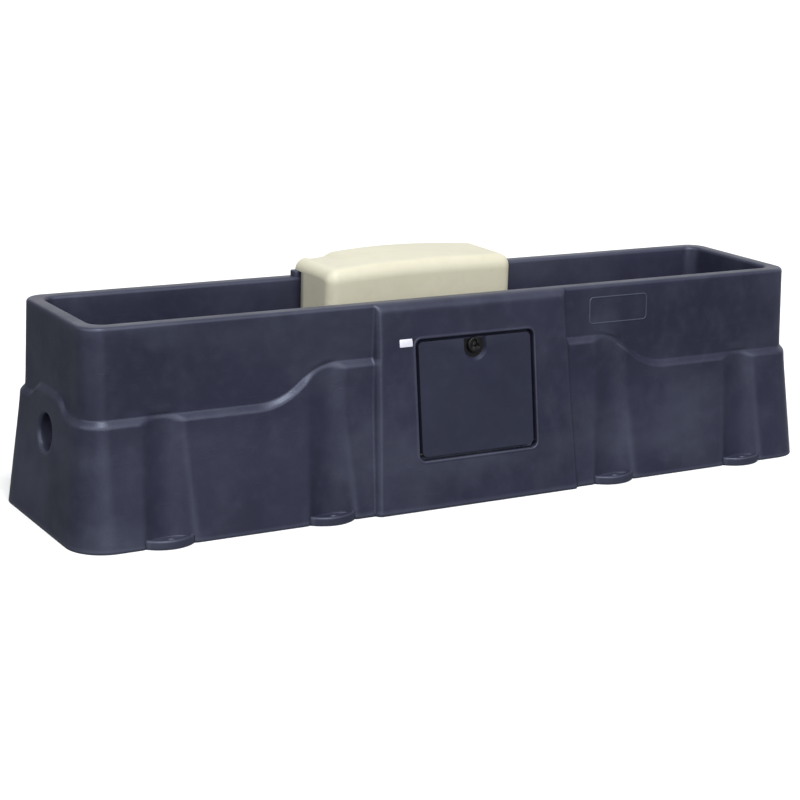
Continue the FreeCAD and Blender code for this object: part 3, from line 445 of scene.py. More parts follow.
def prism(name, outline, low, high, high_outline=None):
    """Closed prism between two heights along the third axis, tapered if a second outline is given."""
    shell = Shell()
    bottom = shell.add([(x, y, low) for x, y in outline])
    top = shell.add([(x, y, high) for x, y in high_outline or outline])
    shell.band(bottom, top)
    shell.faces.append(tuple(reversed(bottom)))
    shell.faces.append(tuple(top))
    item = shell.object(name)
    item.data.shade_flat()
    return item


def rounded_outline(left, right, low, high, corner, steps=8):
    """Rectangle with round corners, anticlockwise."""
    outline = []
    for quarter, (x, y) in enumerate(((right - corner, low + corner), (right - corner, high - corner),
                                      (left + corner, high - corner), (left + corner, low + corner))):
        for k in range(steps + 1):
            turn = math.radians((quarter - 1) * 90 + 90 * k / steps)
            outline.append((x + corner * math.cos(turn), y + corner * math.sin(turn)))
    return outline


def rounded_box(name, left, right, front, back, low, high, corner, edge):
    """Block with round corners in plan and rounded edges."""
    block = prism(name, rounded_outline(left, right, front, back, corner), low, high)
    return bevelled(block, edge, 4)


def disc(name, centre, radius, low, high, edge, hole=0.0, steps=48):
    """Disc along Y between two depths, its edge rounded, with a hole if one is given."""
    arc = quarter_turn(4)
    profile = [(max(hole, 0.01), low), (radius - edge, low)]
    profile += [(radius - edge + edge * math.sin(t), low + edge * (1 - math.cos(t))) for t in arc[1:]]
    profile += [(radius - edge + edge * math.cos(t), high - edge * (1 - math.sin(t))) for t in arc]
    profile += [(max(hole, 0.01), high)]
    shell = Shell()
    rings = []
    for r, y in profile + profile[:1]:
        turns = full_turn(steps)
        rings.append([(centre[0] + r * math.cos(t), y, centre[1] + r * math.sin(t)) for t in turns])
    made = [shell.add(ring) for ring in rings[:-1]]
    for first, second in zip(made, made[1:] + made[:1]):
        shell.band(first, second)
    item = outward(shell.object(name))
    item.data.set_sharp_from_angle(angle=math.radians(50))
    return item


def on_panel(point):
    """From the panel's own axes (across, depth, height along it) to the row frame."""
    x, depth, high = point
    lean_sin, lean_cos = math.sin(PANEL_LEAN), math.cos(PANEL_LEAN)
    return x, -PANEL_FRONT + depth * lean_cos + high * lean_sin, high * lean_cos - depth * lean_sin


def stood_up(point):
    """Prism axes (across, height, depth) to the panel's (across, depth, height)."""
    return on_panel((point[0], point[2], point[1]))


# ---------------------------------------------------------------- moulded body
def hole_edge(index, rows, first, last):
    """Grid points round a rectangle of rows and columns, anticlockwise from its low left corner."""
    low, high = rows
    edge = [(low, c) for c in range(first, last)]
    edge += [(r, last) for r in range(low, high)]
    edge += [(high, c) for c in range(last, first, -1)]
    edge += [(r, first) for r in range(high, low, -1)]
    return [index[r, c] for r, c in edge]


def square_angle(u, v):
    """Angle on a circle for a point on the edge of a square that reaches 1 each way."""
    if abs(u) >= abs(v):
        turn = math.pi / 4 * v / abs(u)
        return turn if u > 0 else math.pi - turn
    turn = math.pi / 4 * u / abs(v)
    return math.pi / 2 - turn if v > 0 else -math.pi / 2 + turn


def rounded_spot(u, v, half_x, half_z, corner, zone=36.0, whole=(222.0, 195.0)):
    """Point on a rounded rectangle for a point on the square's edge."""
    def one(side, across, along, straight, length):
        s = (1 - side) * length
        if s < zone:
            turn = math.pi / 4 * (1 - s / zone)
            return across - corner + corner * math.cos(turn), along - corner + corner * math.sin(turn)
        return across, straight * (length - s) / (length - zone)

    if abs(u) >= abs(v):
        x, z = one(abs(v), half_x, half_z, half_z - corner, whole[1])
    else:
        z, x = one(abs(u), half_z, half_x, half_x - corner, whole[0])
    return math.copysign(x, u), math.copysign(z, v)


def recess_rings(spots):
    """Loops from the panel's face round the lip, down the recess and over the seat's flange."""
    middle = (RECESS_LOW + RECESS_HIGH) / 2
    half = (RECESS_HIGH - RECESS_LOW) / 2
    quarter = quarter_turn(5)
    steps = [(RECESS_LIP + 7, 0.0), (RECESS_LIP + 4.5, 0.0), (RECESS_LIP + 2, -RECESS_BEAD * 0.8)]
    steps += [(RECESS_LIP * (1 - math.sin(t)), RECESS_LIP * (1 - math.cos(t)) - RECESS_BEAD) for t in quarter]
    steps += [(-0.4, 10.0), (-0.8, 16.0)]
    steps += [(-0.8 - 3 * (1 - math.cos(t)), RECESS_DEEP - 3 + 3 * math.sin(t)) for t in quarter[::2]]
    steps += [(-12.0, RECESS_DEEP), (2.5 - SEAT_FLANGE, RECESS_DEEP), (0.6 - SEAT_FLANGE, RECESS_DEEP + 0.7),
              (-SEAT_FLANGE, RECESS_DEEP + 2.5)]
    rings = []
    for offset, depth in steps:
        corner = max(RECESS_R + offset, 6.0)
        ring = []
        for u, v in spots:
            x, z = rounded_spot(u, v, RECESS_HALF + offset, half + offset, corner)
            if offset < 2 - SEAT_FLANGE + 1 and v == 1:
                x, z = notched(x, z)
            ring.append(on_panel((x, depth, middle + z)))
        rings.append(ring)
    return rings


def notched(x, z):
    """Raise the flange's top edge where the latch passes."""
    low, high, raised = -20.0, 53.0, 491.0 - (RECESS_LOW + RECESS_HIGH) / 2
    step = 2 * RECESS_EDGE / 48
    if low - step < x < low or high < x < high + step:
        return (low if x < low else high), z
    if low <= x <= high:
        return min(max(x, low), high), raised
    return x, z


def make_body():
    """The double-walled body as one shell, with feet, pads and the cover's seat joined to it."""
    columns, grid = body_grid()
    shell = Shell()
    row_count, column_count = grid.shape[:2]
    index = np.array(shell.add(grid.reshape(-1, 3))).reshape(row_count, column_count)
    holes = []

    def columns_where(test):
        found = np.nonzero(test)[0]
        return int(found.min()), int(found.max())

    x, side, along = columns["x"], columns["side"], columns["fy"]
    front = (side == 1) & (along < 0)
    recess = columns_where(front & (np.abs(x) <= RECESS_EDGE + 0.1))
    holes.append(((RECESS_FIRST_ROW, RECESS_LAST_ROW), recess))
    for end in (1, -1):
        place = columns_where((side == 2) & (x * end > 0) & (np.abs(along) <= ENTRY_EDGE + 0.001))
        holes.append(((ENTRY_FIRST_ROW, ENTRY_LAST_ROW), place))
    drain = columns_where(front & (np.abs(x) <= DRAIN_EDGE))
    holes.append(((DRAIN_FIRST_ROW, DRAIN_LAST_ROW), drain))
    open_quads = set()
    for (low, high), (first, last) in holes:
        open_quads |= {(r, c) for r in range(low, high) for c in range(first, last)}
    for r in range(row_count - 1):
        for c in range(column_count):
            if (r, c) not in open_quads:
                n = (c + 1) % column_count
                shell.faces.append((index[r, c], index[r, n], index[r + 1, n], index[r + 1, c]))
    close_floor(shell, index[-1], columns)
    edge = hole_edge(index, holes[0][0], *holes[0][1])
    shell_points = np.array(shell.points)
    places = shell_points[edge]
    mid_z = (places[:, 2].max() + places[:, 2].min()) / 2
    half_z = (places[:, 2].max() - places[:, 2].min()) / 2
    spots = np.stack([places[:, 0] / RECESS_EDGE, (places[:, 2] - mid_z) / half_z], 1)
    spots = np.where(np.abs(spots) > 0.9995, np.sign(spots), spots)
    rings = shell.loops(recess_rings(spots))
    shell.band(edge, rings[0])
    rows, place = holes[3]
    edge = hole_edge(index, rows, *place)
    shell.band(edge, shell.loops(drain_rings(shell_points[edge], grid[:, sum(drain) // 2]))[0])
    for (rows, place), end in zip(holes[1:3], (1, -1)):
        edge = hole_edge(index, rows, *place)
        places = shell_points[edge]
        half_y = np.abs(places[:, 1]).max()
        low, high = places[:, 2].min(), places[:, 2].max()
        turns = [square_angle(end * y / half_y, 2 * (z - low) / (high - low) - 1) for y, z in places[:, 1:]]
        rings = shell.loops(entry_rings(turns, end))
        shell.band(edge, rings[0])
    body = thickened(shell.object("trough_shell"), WALL)
    for vertex in body.data.vertices:
        vertex.co.z = max(vertex.co.z, 0.0)
    extras = [make_foot(place, sign) for place in FEET_X for sign in (1, -1)]
    extras.append(rounded_box("cover_seat", *COVER_SEAT))
    extras.append(disc("valve_boss", *VALVE_BOSS))
    extras.append(disc("drain_pad", *DRAIN_PAD))
    extras.append(rounded_box("bracket_pad", *BRACKET_PAD))
    extras.append(make_frame_moulding())
    return merged("moulded_trough", [body] + extras)


def close_floor(shell, loop, columns):
    """Join the last row of the basin floor across to itself."""
    count = len(loop)
    middle = int(np.argmin(np.abs(columns["fy"]) + 10.0 * (columns["x"] < 0) + 10.0 * (columns["side"] != 2)))
    shell.strip([loop[(middle + k) % count] for k in range(count)])


def drain_rings(places, column):
    """Loops on the basin wall round the drain; column is the wall's profile in the middle."""
    low, high = places[:, 2].min(), places[:, 2].max()
    turns = [square_angle(x / np.abs(places[:, 0]).max(), 2 * (z - low) / (high - low) - 1)
             for x, _, z in places]
    wall = column[BASIN_TOP_ROW:]
    rings = []
    for radius in (29.0, DRAIN_R + 3, DRAIN_R):
        ring = []
        for turn in turns:
            z = DRAIN_Z + radius * math.sin(turn)
            ring.append((radius * math.cos(turn), np.interp(-z, -wall[:, 2], wall[:, 1]), z))
        rings.append(ring)
    return rings


def entry_rings(turns, end):
    """Loops from the end wall round the soft lip and in through the pipe entry."""
    inside = ENTRY_R if end < 0 else BLANK_R
    steps = [(inside + ENTRY_LIP + 8, 0.0)]
    for k in range(8):
        turn = math.radians(90 * k / 7)
        steps.append((inside + ENTRY_LIP * (1 - math.sin(turn)), ENTRY_LIP * (1 - math.cos(turn))))
    if end < 0:
        steps += [(inside, depth) for depth in (22.0, 40.0, ENTRY_DEEP)]
    else:
        quarter = quarter_turn(4)
        steps += [(inside - 5 * (1 - math.cos(t)), BLANK_DEEP - 5 + 5 * math.sin(t)) for t in quarter]
        steps += [(30.0, BLANK_DEEP), (0.05, BLANK_DEEP)]
    rings = []
    for radius, depth in steps:
        ring = []
        for turn in turns:
            y, z = radius * math.cos(turn), ENTRY_Z + radius * math.sin(turn)
            wall = wall_sizes(np.array([z]), np.array([ARCH_HIGH]))[0][0]
            inner = wall_sizes(np.array([ENTRY_Z]), np.array([ARCH_HIGH]))[0][0] - depth
            x = wall - depth if depth < ENTRY_LIP else inner
            ring.append((end * x, end * y, z))
        rings.append(ring)
    return rings


def make_foot(place, sign):
    """Lens-shaped foot with an anchor hole, seated in the bottom of a flute."""
    centre = FOOT_REACH - FOOT_R
    steps = 64

    def reach(turn, inset):
        """Distance from the bolt hole to the foot's edge."""
        found = []
        for radius, middle in ((FOOT_R - inset, centre), (FLUTE_R + 4.0, FLUTE_BASE)):
            gap = middle - FOOT_BOLT_Y
            towards = gap * math.sin(turn)
            found.append(towards + math.sqrt(max(towards ** 2 - gap ** 2 + radius ** 2, 0)))
        return min(found)

    arc = quarter_turn(6)
    edge, floor = FOOT_EDGE, FOOT_Z - FOOT_DISH
    profile = [("hole", 0.0, 0.0), ("hole", 0.0, floor - FOOT_CHAMFER), ("hole", FOOT_CHAMFER, floor),
               ("hole", 3.0, floor), ("rim", edge + 7.0, floor), ("rim", edge + 4.0, floor + 1.2),
               ("rim", edge + 1.5, FOOT_Z - 0.8), ("rim", edge + 0.5, FOOT_Z)]
    profile += [("rim", edge * (1 - math.sin(t)), FOOT_Z - edge * (1 - math.cos(t))) for t in arc]
    profile += [("rim", 0.0, 9.0), ("rim", 0.0, 1.0), ("rim", 1.0, 0.0)]
    shell = Shell()
    rings = []
    for kind, amount, z in profile:
        ring = []
        for k in range(steps):
            turn = 2 * math.pi * k / steps
            r = FOOT_BOLT_R + amount if kind == "hole" else reach(turn, amount)
            ring.append((place + r * math.cos(turn), sign * (FOOT_BOLT_Y + r * math.sin(turn)), z))
        rings.append(ring if sign > 0 else ring[::-1])
    made = [shell.add(ring) for ring in rings]
    for first, second in zip(made, made[1:] + made[:1]):
        shell.band(second, first)
    return outward(shell.object("foot"))


def make_frame_moulding():
    """Plain raised outline moulded on the front wall to the right of the panel."""
    shell = Shell()
    rings = []
    for inset, lift in OUTLINE_BEAD:
        outline = rounded_outline(OUTLINE_LEFT + inset, OUTLINE_RIGHT - inset, OUTLINE_LOW + inset,
                                  OUTLINE_HIGH - inset, OUTLINE_CORNER - inset, 6)
        rings.append([(x, -(upper_half_width(z) + lift), z) for x, z in outline])
    shell.loops(rings)
    return shell.object("raised_outline")


# ---------------------------------------------------------------- service door
DOOR_HALF, DOOR_LOW, DOOR_HIGH, DOOR_FACE, DOOR_BACK = 194.0, 158.0, 497.0, 3.0, 21.0
DOOR_WALL, DOOR_CORNER = 6.0, 16.0
HINGE_Z, HINGE_DEPTH, PIN_R, PIN_END = 166.0, 11.0, 5.0, 208.5
POCKET_HALF, POCKET_CENTRE, POCKET_DEPTH, POCKET_TAPER = 39.0, 466.0, 15.0, 5.0
LARGE_FACE = 0.002                # square metres; larger faces are shaded flat
KNOB_Z, SHAFT_BORE = 474.0, (-5.2, 5.2, 468.8, 479.2, 5.19, 6)


def pocket_outline(extra, top, centre=POCKET_CENTRE):
    """U shape open at the top, as (across, height)."""
    half = POCKET_HALF + extra
    outline = [(half, top), (-half, top)]
    outline += [(half * math.cos(t), centre + half * math.sin(t))
                for t in [math.pi + math.pi * k / 28 for k in range(29)]]
    return outline


def make_door():
    """Door panel with its rim, the pocket for the latch knob and a bore for its shaft."""
    panel = prism("door_panel", rounded_outline(-DOOR_HALF, DOOR_HALF, DOOR_LOW, DOOR_HIGH, DOOR_CORNER),
                  DOOR_FACE, DOOR_BACK)
    inner = DOOR_HALF - DOOR_WALL
    hollow = prism("door_hollow", rounded_outline(-inner, inner, DOOR_LOW + 16, DOOR_HIGH - DOOR_WALL, 10),
                   DOOR_FACE + DOOR_WALL, DOOR_BACK + 5)
    cut(panel, [hollow])
    backing = prism("pocket_back", pocket_outline(DOOR_WALL, DOOR_HIGH - 1),
                    DOOR_FACE + DOOR_WALL - 1, DOOR_BACK - 0.01)
    cut(panel, [backing], "UNION")
    pocket = prism("pocket", pocket_outline(1.5, DOOR_HIGH + 20), DOOR_FACE - 2, POCKET_DEPTH,
                   pocket_outline(-POCKET_TAPER, DOOR_HIGH + 20, POCKET_CENTRE + POCKET_TAPER))
    bore = prism("shaft_bore", rounded_outline(*SHAFT_BORE), DOOR_FACE, DOOR_BACK + 3)
    cut(panel, [pocket, bore])
    bevelled(panel, 3.6, 4)
    placed(panel, stood_up)
    for polygon in panel.data.polygons:
        polygon.use_smooth = polygon.area < LARGE_FACE
    panel.name = "service_door"
    return panel


def make_pocket_shade_plate():
    """Thin black plate on the floor of the latch pocket, with a hole for the shaft: painted shade that
    darkens the pocket.
    """
    outline = pocket_outline(-POCKET_TAPER - 0.3, DOOR_HIGH - 4, POCKET_CENTRE + POCKET_TAPER)
    plate = prism("pocket_shade_plate", outline, POCKET_DEPTH - 0.3, POCKET_DEPTH + 0.5)
    bore = prism("plate_bore", rounded_outline(*SHAFT_BORE), 0, 30)
    return placed(cut(plate, [bore]), stood_up)


def make_pin(sign):
    """Hinge pin that stands out of one end of the door's bottom edge."""
    profile = [(0.05, PIN_END), (PIN_R - 1, PIN_END), (PIN_R - 0.3, PIN_END - 0.3), (PIN_R, PIN_END - 1),
               (PIN_R, DOOR_HALF - 14)]
    shell = Shell()
    rings = []
    for radius, x in profile:
        rings.append([(sign * x, HINGE_DEPTH + radius * math.cos(t) * sign, HINGE_Z + radius * math.sin(t))
                      for t in full_turn(32)])
    shell.loops(rings)
    return outward(shell.object("hinge_pin", on_panel))


def make_knob():
    """Round latch knob with a three-lobed finger recess."""
    steps = 96
    turns = full_turn(steps)

    def lobe(turn, out):
        return 12.2 + 4.0 * math.cos(3 * (turn - math.pi / 2)) + out

    profile = [("round", 22.0, 14.4), ("round", 23.0, 13.6), ("round", 23.0, 6.2), ("round", 22.5, 4.6),
               ("round", 21.4, 3.8), ("round", 19.8, 3.5), ("lobe", 1.6, 3.5), ("lobe", 0.6, 3.8),
               ("lobe", 0.0, 4.8), ("lobe", -0.6, 8.2), ("lobe", -1.6, 9.2), ("lobe", -4.0, 9.5),
               ("round", 3.4, 9.5), ("round", 3.0, 8.6), ("round", 0.05, 8.4)]
    shell = Shell()
    rings = []
    for kind, size, depth in profile:
        ring = []
        for turn in turns:
            r = size if kind == "round" else lobe(turn, size)
            ring.append((r * math.cos(turn), depth, KNOB_Z + r * math.sin(turn)))
        rings.append(ring)
    back = [[(r * math.cos(t), 14.5, KNOB_Z + r * math.sin(t)) for t in turns] for r in (0.05, 21.0)]
    shell.loops(back + rings)
    return outward(shell.object("latch_handwheel", on_panel))


# ---------------------------------------------------------------- cover over the float valve
COVER_LEFT, COVER_RIGHT, COVER_BACK = -345.0, 302.0, 250.0
COVER_FLAT, COVER_FLAT_RIGHT, COVER_CROWN = 660.0, 671.0, 686.5
COVER_ROUND, COVER_CORNER, COVER_WALL = 33.0, 34.0, 5.0
CROWN_X, CROWN_LEFT, CROWN_RIGHT, CROWN_STEP, CROWN_STEP_RISE = -10.0, 330.0, 320.0, -238.0, 9.0
FRONT_ARCH, BACK_ROUND, FRONT_ROUND = 0.42, 30.0, 42.0
COVER_LOW, SEAT_LOW, SEAT_SIDE = 430.0, 628.0, 185.0
HOOK_HALF, HOOK_BACK, HOOK_LOW, HOOK_HIGH, HOOK_SLOPE = 215.0, 280.0, 592.0, 661.0, 0.32
HOOK_CORNER, HOOK_FRONT = 12.0, 236.0
RIBS_X = (-300.0, -120.0, 90.0, 262.0)


def crown(x, y):
    """Height of the cover's top: a low front edge that rises to an arched back edge."""
    side = CROWN_LEFT if x < CROWN_X else CROWN_RIGHT
    flat = COVER_FLAT + (COVER_FLAT_RIGHT - COVER_FLAT) * (x - COVER_LEFT) / (COVER_RIGHT - COVER_LEFT)
    rise = (COVER_CROWN - flat) * max(1 - ((x - CROWN_X) / side) ** 2, 0.0)
    past_step = min(max((x - CROWN_STEP) / 9.0, 0.0), 1.0)
    back = min(max(y / (COVER_BACK - COVER_ROUND), 0.0), 1.0)
    rise -= CROWN_STEP_RISE * (1 - past_step) * back ** 2 * (rise > CROWN_STEP_RISE * 0.5)
    return flat + max(rise, 0.0) * (FRONT_ARCH + (1 - FRONT_ARCH) * back)


def edge_round(y):
    """Depth of the rounding along the cover's top edge, fullest at the front."""
    return BACK_ROUND + (FRONT_ROUND - BACK_ROUND) * min(max(1 - y / 60.0, 0.0), 1.0)


def plan_loop(inset):
    """Cover's plan outline at an inset, anticlockwise from the middle of its right end."""
    corner = max(COVER_CORNER - inset, 0.8)
    left, right = COVER_LEFT + inset, COVER_RIGHT - inset
    low, high = inset, COVER_BACK - inset
    middle = COVER_BACK / 2

    def squeezed(y):
        return middle + (y - middle) * (high - corner - middle) / (COVER_BACK - COVER_CORNER - middle)

    quarter = quarter_turn(8)[1:-1]
    right_up = [squeezed(y) for y in (125, 145, 165, 185, 196, 206, 216)]
    right_down = [squeezed(y) for y in (34, 49, 64, 79, 94, 110)]
    back_x = [right - corner + (left - right + 2 * corner) * k / 44 for k in range(45)]
    loop = [(right, y) for y in right_up]
    loop += [(right - corner + corner * math.cos(t), high - corner + corner * math.sin(t)) for t in quarter]
    loop += [(x, high) for x in back_x]
    loop += [(left + corner - corner * math.sin(t), high - corner + corner * math.cos(t)) for t in quarter]
    loop += [(left, y) for y in right_up[::-1]]
    loop += [(left, y) for y in right_down[::-1]]
    loop += [(left + corner - corner * math.cos(t), low + corner - corner * math.sin(t)) for t in quarter]
    loop += [(x, low) for x in back_x[::-1]]
    loop += [(right - corner + corner * math.sin(t), low + corner - corner * math.cos(t)) for t in quarter]
    loop += [(right, y) for y in right_down]
    return loop


def make_cover():
    """Arched cover, thin-walled and open below, with a hook behind the rim and four ribs."""
    shell = Shell()
    rings = []
    for inset in (124.0, 112.0, 95.0, 76.0, 58.0, 44.0):
        rings.append([(x, y, crown(x, y)) for x, y in plan_loop(inset)])
    rim = plan_loop(0)
    for k in range(11):
        turn = math.radians(9 * k)
        drop = 1 - math.cos(turn)
        rings.append([(x, y, crown(x, y) - edge_round(across) * drop)
                      for (x, y), (_, across) in zip(plan_loop(COVER_ROUND * (1 - math.sin(turn))), rim)])
    rim = [(x, y, crown(x, y) - edge_round(y)) for x, y in rim]
    for share in (0.4, 0.93, 1.0):
        rings.append([(x, y, z + (min(SEAT_LOW, z - 2.0) - z) * share) for x, y, z in rim])
    made = shell.loops([ring[::-1] for ring in rings])
    shell.strip(made[0][::-1])
    last = made[-1]
    keep = [k for k, (x, y) in enumerate(plan_loop(0)[::-1]) if y <= SEAT_SIDE + 0.01]
    first = next(k for k in keep if k - 1 not in keep and k > 3)
    chain = [(first + k) % len(last) for k in range(len(keep))]
    above = [last[k] for k in chain]
    for z in (600.0, 570.0, 535.0, 500.0, 465.0, COVER_LOW):
        below = shell.add([shell.points[last[k]][:2] + (z,) for k in chain])
        shell.band(above, below, closed=False)
        above = below
    hood = thickened(shell.object("cover_shell"), COVER_WALL)
    ribs = [make_rib(x) for x in RIBS_X]
    return merged("valve_cover", [hood, make_hook()] + ribs)


def make_hook():
    """Tongue on the back of the cover that drops behind the rim."""
    corner = HOOK_CORNER
    shell = Shell()

    def chain(inset, z):
        half, back = HOOK_HALF - inset, HOOK_BACK - inset
        bend = max(corner - inset, 0.5)
        start = HOOK_FRONT if z > SEAT_LOW else 252.0
        left = [(-half, start + (back - bend - start) * k / 4) for k in range(4)]
        points = left + [(-half + bend * (1 - math.cos(t)), back - bend * (1 - math.sin(t)))
                         for t in quarter_turn(6)]
        points += [(-x, y) for x, y in reversed(points)]
        lift = HOOK_SLOPE if z > HOOK_HIGH - corner - 1 else 0.0
        return [(x, y, z + lift * max(back - y, 0.0)) for x, y in points]

    rows = []
    for k in range(7):
        turn = math.radians(15 * k)
        rows.append(chain(corner * (1 - math.sin(turn)), HOOK_HIGH - corner * (1 - math.cos(turn))))
    rows += [chain(0, z) for z in (640.0, SEAT_LOW + 0.1, SEAT_LOW - 0.1, 610.0, HOOK_LOW)]
    made = shell.loops(rows, closed=False)
    top = made[0]
    half = len(top) // 2
    for k in range(half - 1):
        shell.faces.append((top[-k - 1], top[-k - 2], top[k + 1], top[k]))
    return thickened(shell.object("hook"), COVER_WALL)


def make_rib(place):
    """Stiffening rib under the cover, over the rim."""
    top = crown(place, COVER_BACK) - COVER_WALL
    bend = COVER_ROUND - COVER_WALL + 1
    outline = [(192.0, SEAT_LOW + 0.3), (246.0, SEAT_LOW + 0.3)]
    outline += [(246.0 - bend + bend * math.cos(t), top - bend + bend * math.sin(t))
                for t in quarter_turn(8)]
    outline += [(192.0, top)]
    rib = prism("rib", outline, -2.5, 2.5)
    return placed(rib, lambda p: (place + p[2], p[0], p[1]))


# ---------------------------------------------------------------- finishes
def node(tree, kind, **values):
    """Shader node with its properties or inputs set."""
    made = tree.nodes.new(kind)
    for key, value in values.items():
        if hasattr(made, key):
            setattr(made, key, value)
        else:
            made.inputs[key.replace("_", " ")].default_value = value
    return made


def blended(tree, first, second, share, mode="MIX"):
    """Mix of two colours, each a socket or a plain colour, by a value socket."""
    made = tree.nodes.new("ShaderNodeMix")
    made.data_type = "RGBA"
    made.blend_type = mode
    for slot, colour in ((6, first), (7, second)):
        if isinstance(colour, tuple):
            made.inputs[slot].default_value = (*colour, 1.0)
        else:
            tree.links.new(colour, made.inputs[slot])
    tree.links.new(share, made.inputs[0])
    return made.outputs[2]


def noise(tree, scale, detail=4.0, stretch=None, seed=0.0):
    """Noise in the object's own space, stretched along axes if asked."""
    place = tree.nodes.new("ShaderNodeTexCoord")
    shift = tree.nodes.new("ShaderNodeMapping")
    shift.inputs["Location"].default_value = (seed, seed * 0.7, -seed)
    shift.inputs["Scale"].default_value = stretch or (1, 1, 1)
    made = node(tree, "ShaderNodeTexNoise", Scale=scale, Detail=detail)
    tree.links.new(place.outputs["Object"], shift.inputs["Vector"])
    tree.links.new(shift.outputs["Vector"], made.inputs["Vector"])
    return made.outputs["Fac"]


def in_range(tree, source, low, high, out_low=0.0, out_high=1.0):
    """Value stretched from one range to another and kept inside it."""
    made = node(tree, "ShaderNodeMapRange")
    for key, value in (("From Min", low), ("From Max", high), ("To Min", out_low), ("To Max", out_high)):
        made.inputs[key].default_value = value
    tree.links.new(source, made.inputs["Value"])
    return made.outputs["Result"]


def finish_with(name, colours, rough, metal=0.0, dust=None, scuff=None, glow=0.0, tint=(1.0, 1.0, 1.0),
                grain=(900.0, 0.00012), swell=(9.0, 0.0006), streak=None, edge=None, specular=0.5,
                speck=None):
    """Procedural finish: mottled colour, dust, painted edge highlight, uneven roughness, fine grain and a
    slow swell.

    dust and scuff are (colour, scale, stretch, start, amount), streak is (scale, stretch, depth), grain and
    swell are (scale, depth), edge is (colour, from, to, amount), a painted highlight with some wear on
    convex edges, and speck is (colour, scale).
    """
    material = bpy.data.materials.new(name)
    material.use_nodes = True
    tree = material.node_tree
    shader = tree.nodes["Principled BSDF"]
    shader.inputs["Metallic"].default_value = metal
    shader.inputs["Specular IOR Level"].default_value = specular
    shader.inputs["Specular Tint"].default_value = (*tint, 1.0)
    shader.inputs["Subsurface Weight"].default_value = glow
    shader.inputs["Subsurface Radius"].default_value = (1.0, 0.97, 0.85)
    shader.inputs["Subsurface Scale"].default_value = 0.02
    broad = noise(tree, 3.1, 5.0, seed=1.0)
    colour = blended(tree, colours[0], colours[1], in_range(tree, broad, 0.36, 0.66))
    mottle = noise(tree, 26.0, 6.0, seed=4.0)
    colour = blended(tree, colour, colours[2], in_range(tree, mottle, 0.5, 0.78, 0.0, 0.55))
    if speck:
        cells = node(tree, "ShaderNodeTexVoronoi", Scale=speck[1])
        place = tree.nodes.new("ShaderNodeTexCoord")
        tree.links.new(place.outputs["Object"], cells.inputs["Vector"])
        spots = in_range(tree, cells.outputs["Distance"], 0.16, 0.05, 0.0, 0.5)
        colour = blended(tree, colour, speck[0], spots)
    for seed, layer in ((9.0, dust), (17.0, scuff)):
        if layer:
            tone, scale, stretch, start, amount = layer
            cloud = noise(tree, scale, 8.0, stretch=stretch, seed=seed)
            colour = blended(tree, colour, tone, in_range(tree, cloud, start, start + 0.22, 0.0, amount))
    # Pointiness lightens convex edges: a painted highlight along them, with some wear.
    if edge:
        shape = tree.nodes.new("ShaderNodeNewGeometry")
        edge_highlight_and_wear = in_range(tree, shape.outputs["Pointiness"], edge[1], edge[2], 0.0, edge[3])
        colour = blended(tree, colour, edge[0], edge_highlight_and_wear)
    tree.links.new(colour, shader.inputs["Base Color"])
    patches = noise(tree, 7.0, 6.0, seed=2.0)
    tree.links.new(in_range(tree, patches, 0.3, 0.7, rough[0], rough[1]), shader.inputs["Roughness"])
    fine = noise(tree, grain[0], 2.0, seed=3.0)
    slow = noise(tree, swell[0], 2.0, seed=5.0)
    first = node(tree, "ShaderNodeBump", Strength=1.0, Distance=swell[1])
    second = node(tree, "ShaderNodeBump", Strength=1.0, Distance=grain[1])
    tree.links.new(slow, first.inputs["Height"])
    tree.links.new(fine, second.inputs["Height"])
    tree.links.new(first.outputs["Normal"], second.inputs["Normal"])
    last = second
    if streak:
        lines = noise(tree, streak[0], 3.0, stretch=streak[1], seed=6.0)
        last = node(tree, "ShaderNodeBump", Strength=1.0, Distance=streak[2])
        tree.links.new(in_range(tree, lines, 0.62, 0.72), last.inputs["Height"])
        tree.links.new(second.outputs["Normal"], last.inputs["Normal"])
    tree.links.new(last.outputs["Normal"], shader.inputs["Normal"])
    return material


def painted(item, slot, body=None, replaces=()):
    """Give a piece its finish and, on a body, tell the frame what it is."""
    item.data.materials.clear()
    item.data.materials.append(FINISHES[slot])
    for polygon in item.data.polygons:
        polygon.material_index = 0
    if body:
        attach(item, body)
        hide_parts(*replaces)


BLUE_BLACK = ((0.0165, 0.0165, 0.0330), (0.0225, 0.0225, 0.0430), (0.0310, 0.0315, 0.0560))
DUSTY = (0.066, 0.072, 0.100)
BLUE_SHEEN = (0.72, 0.80, 1.0)

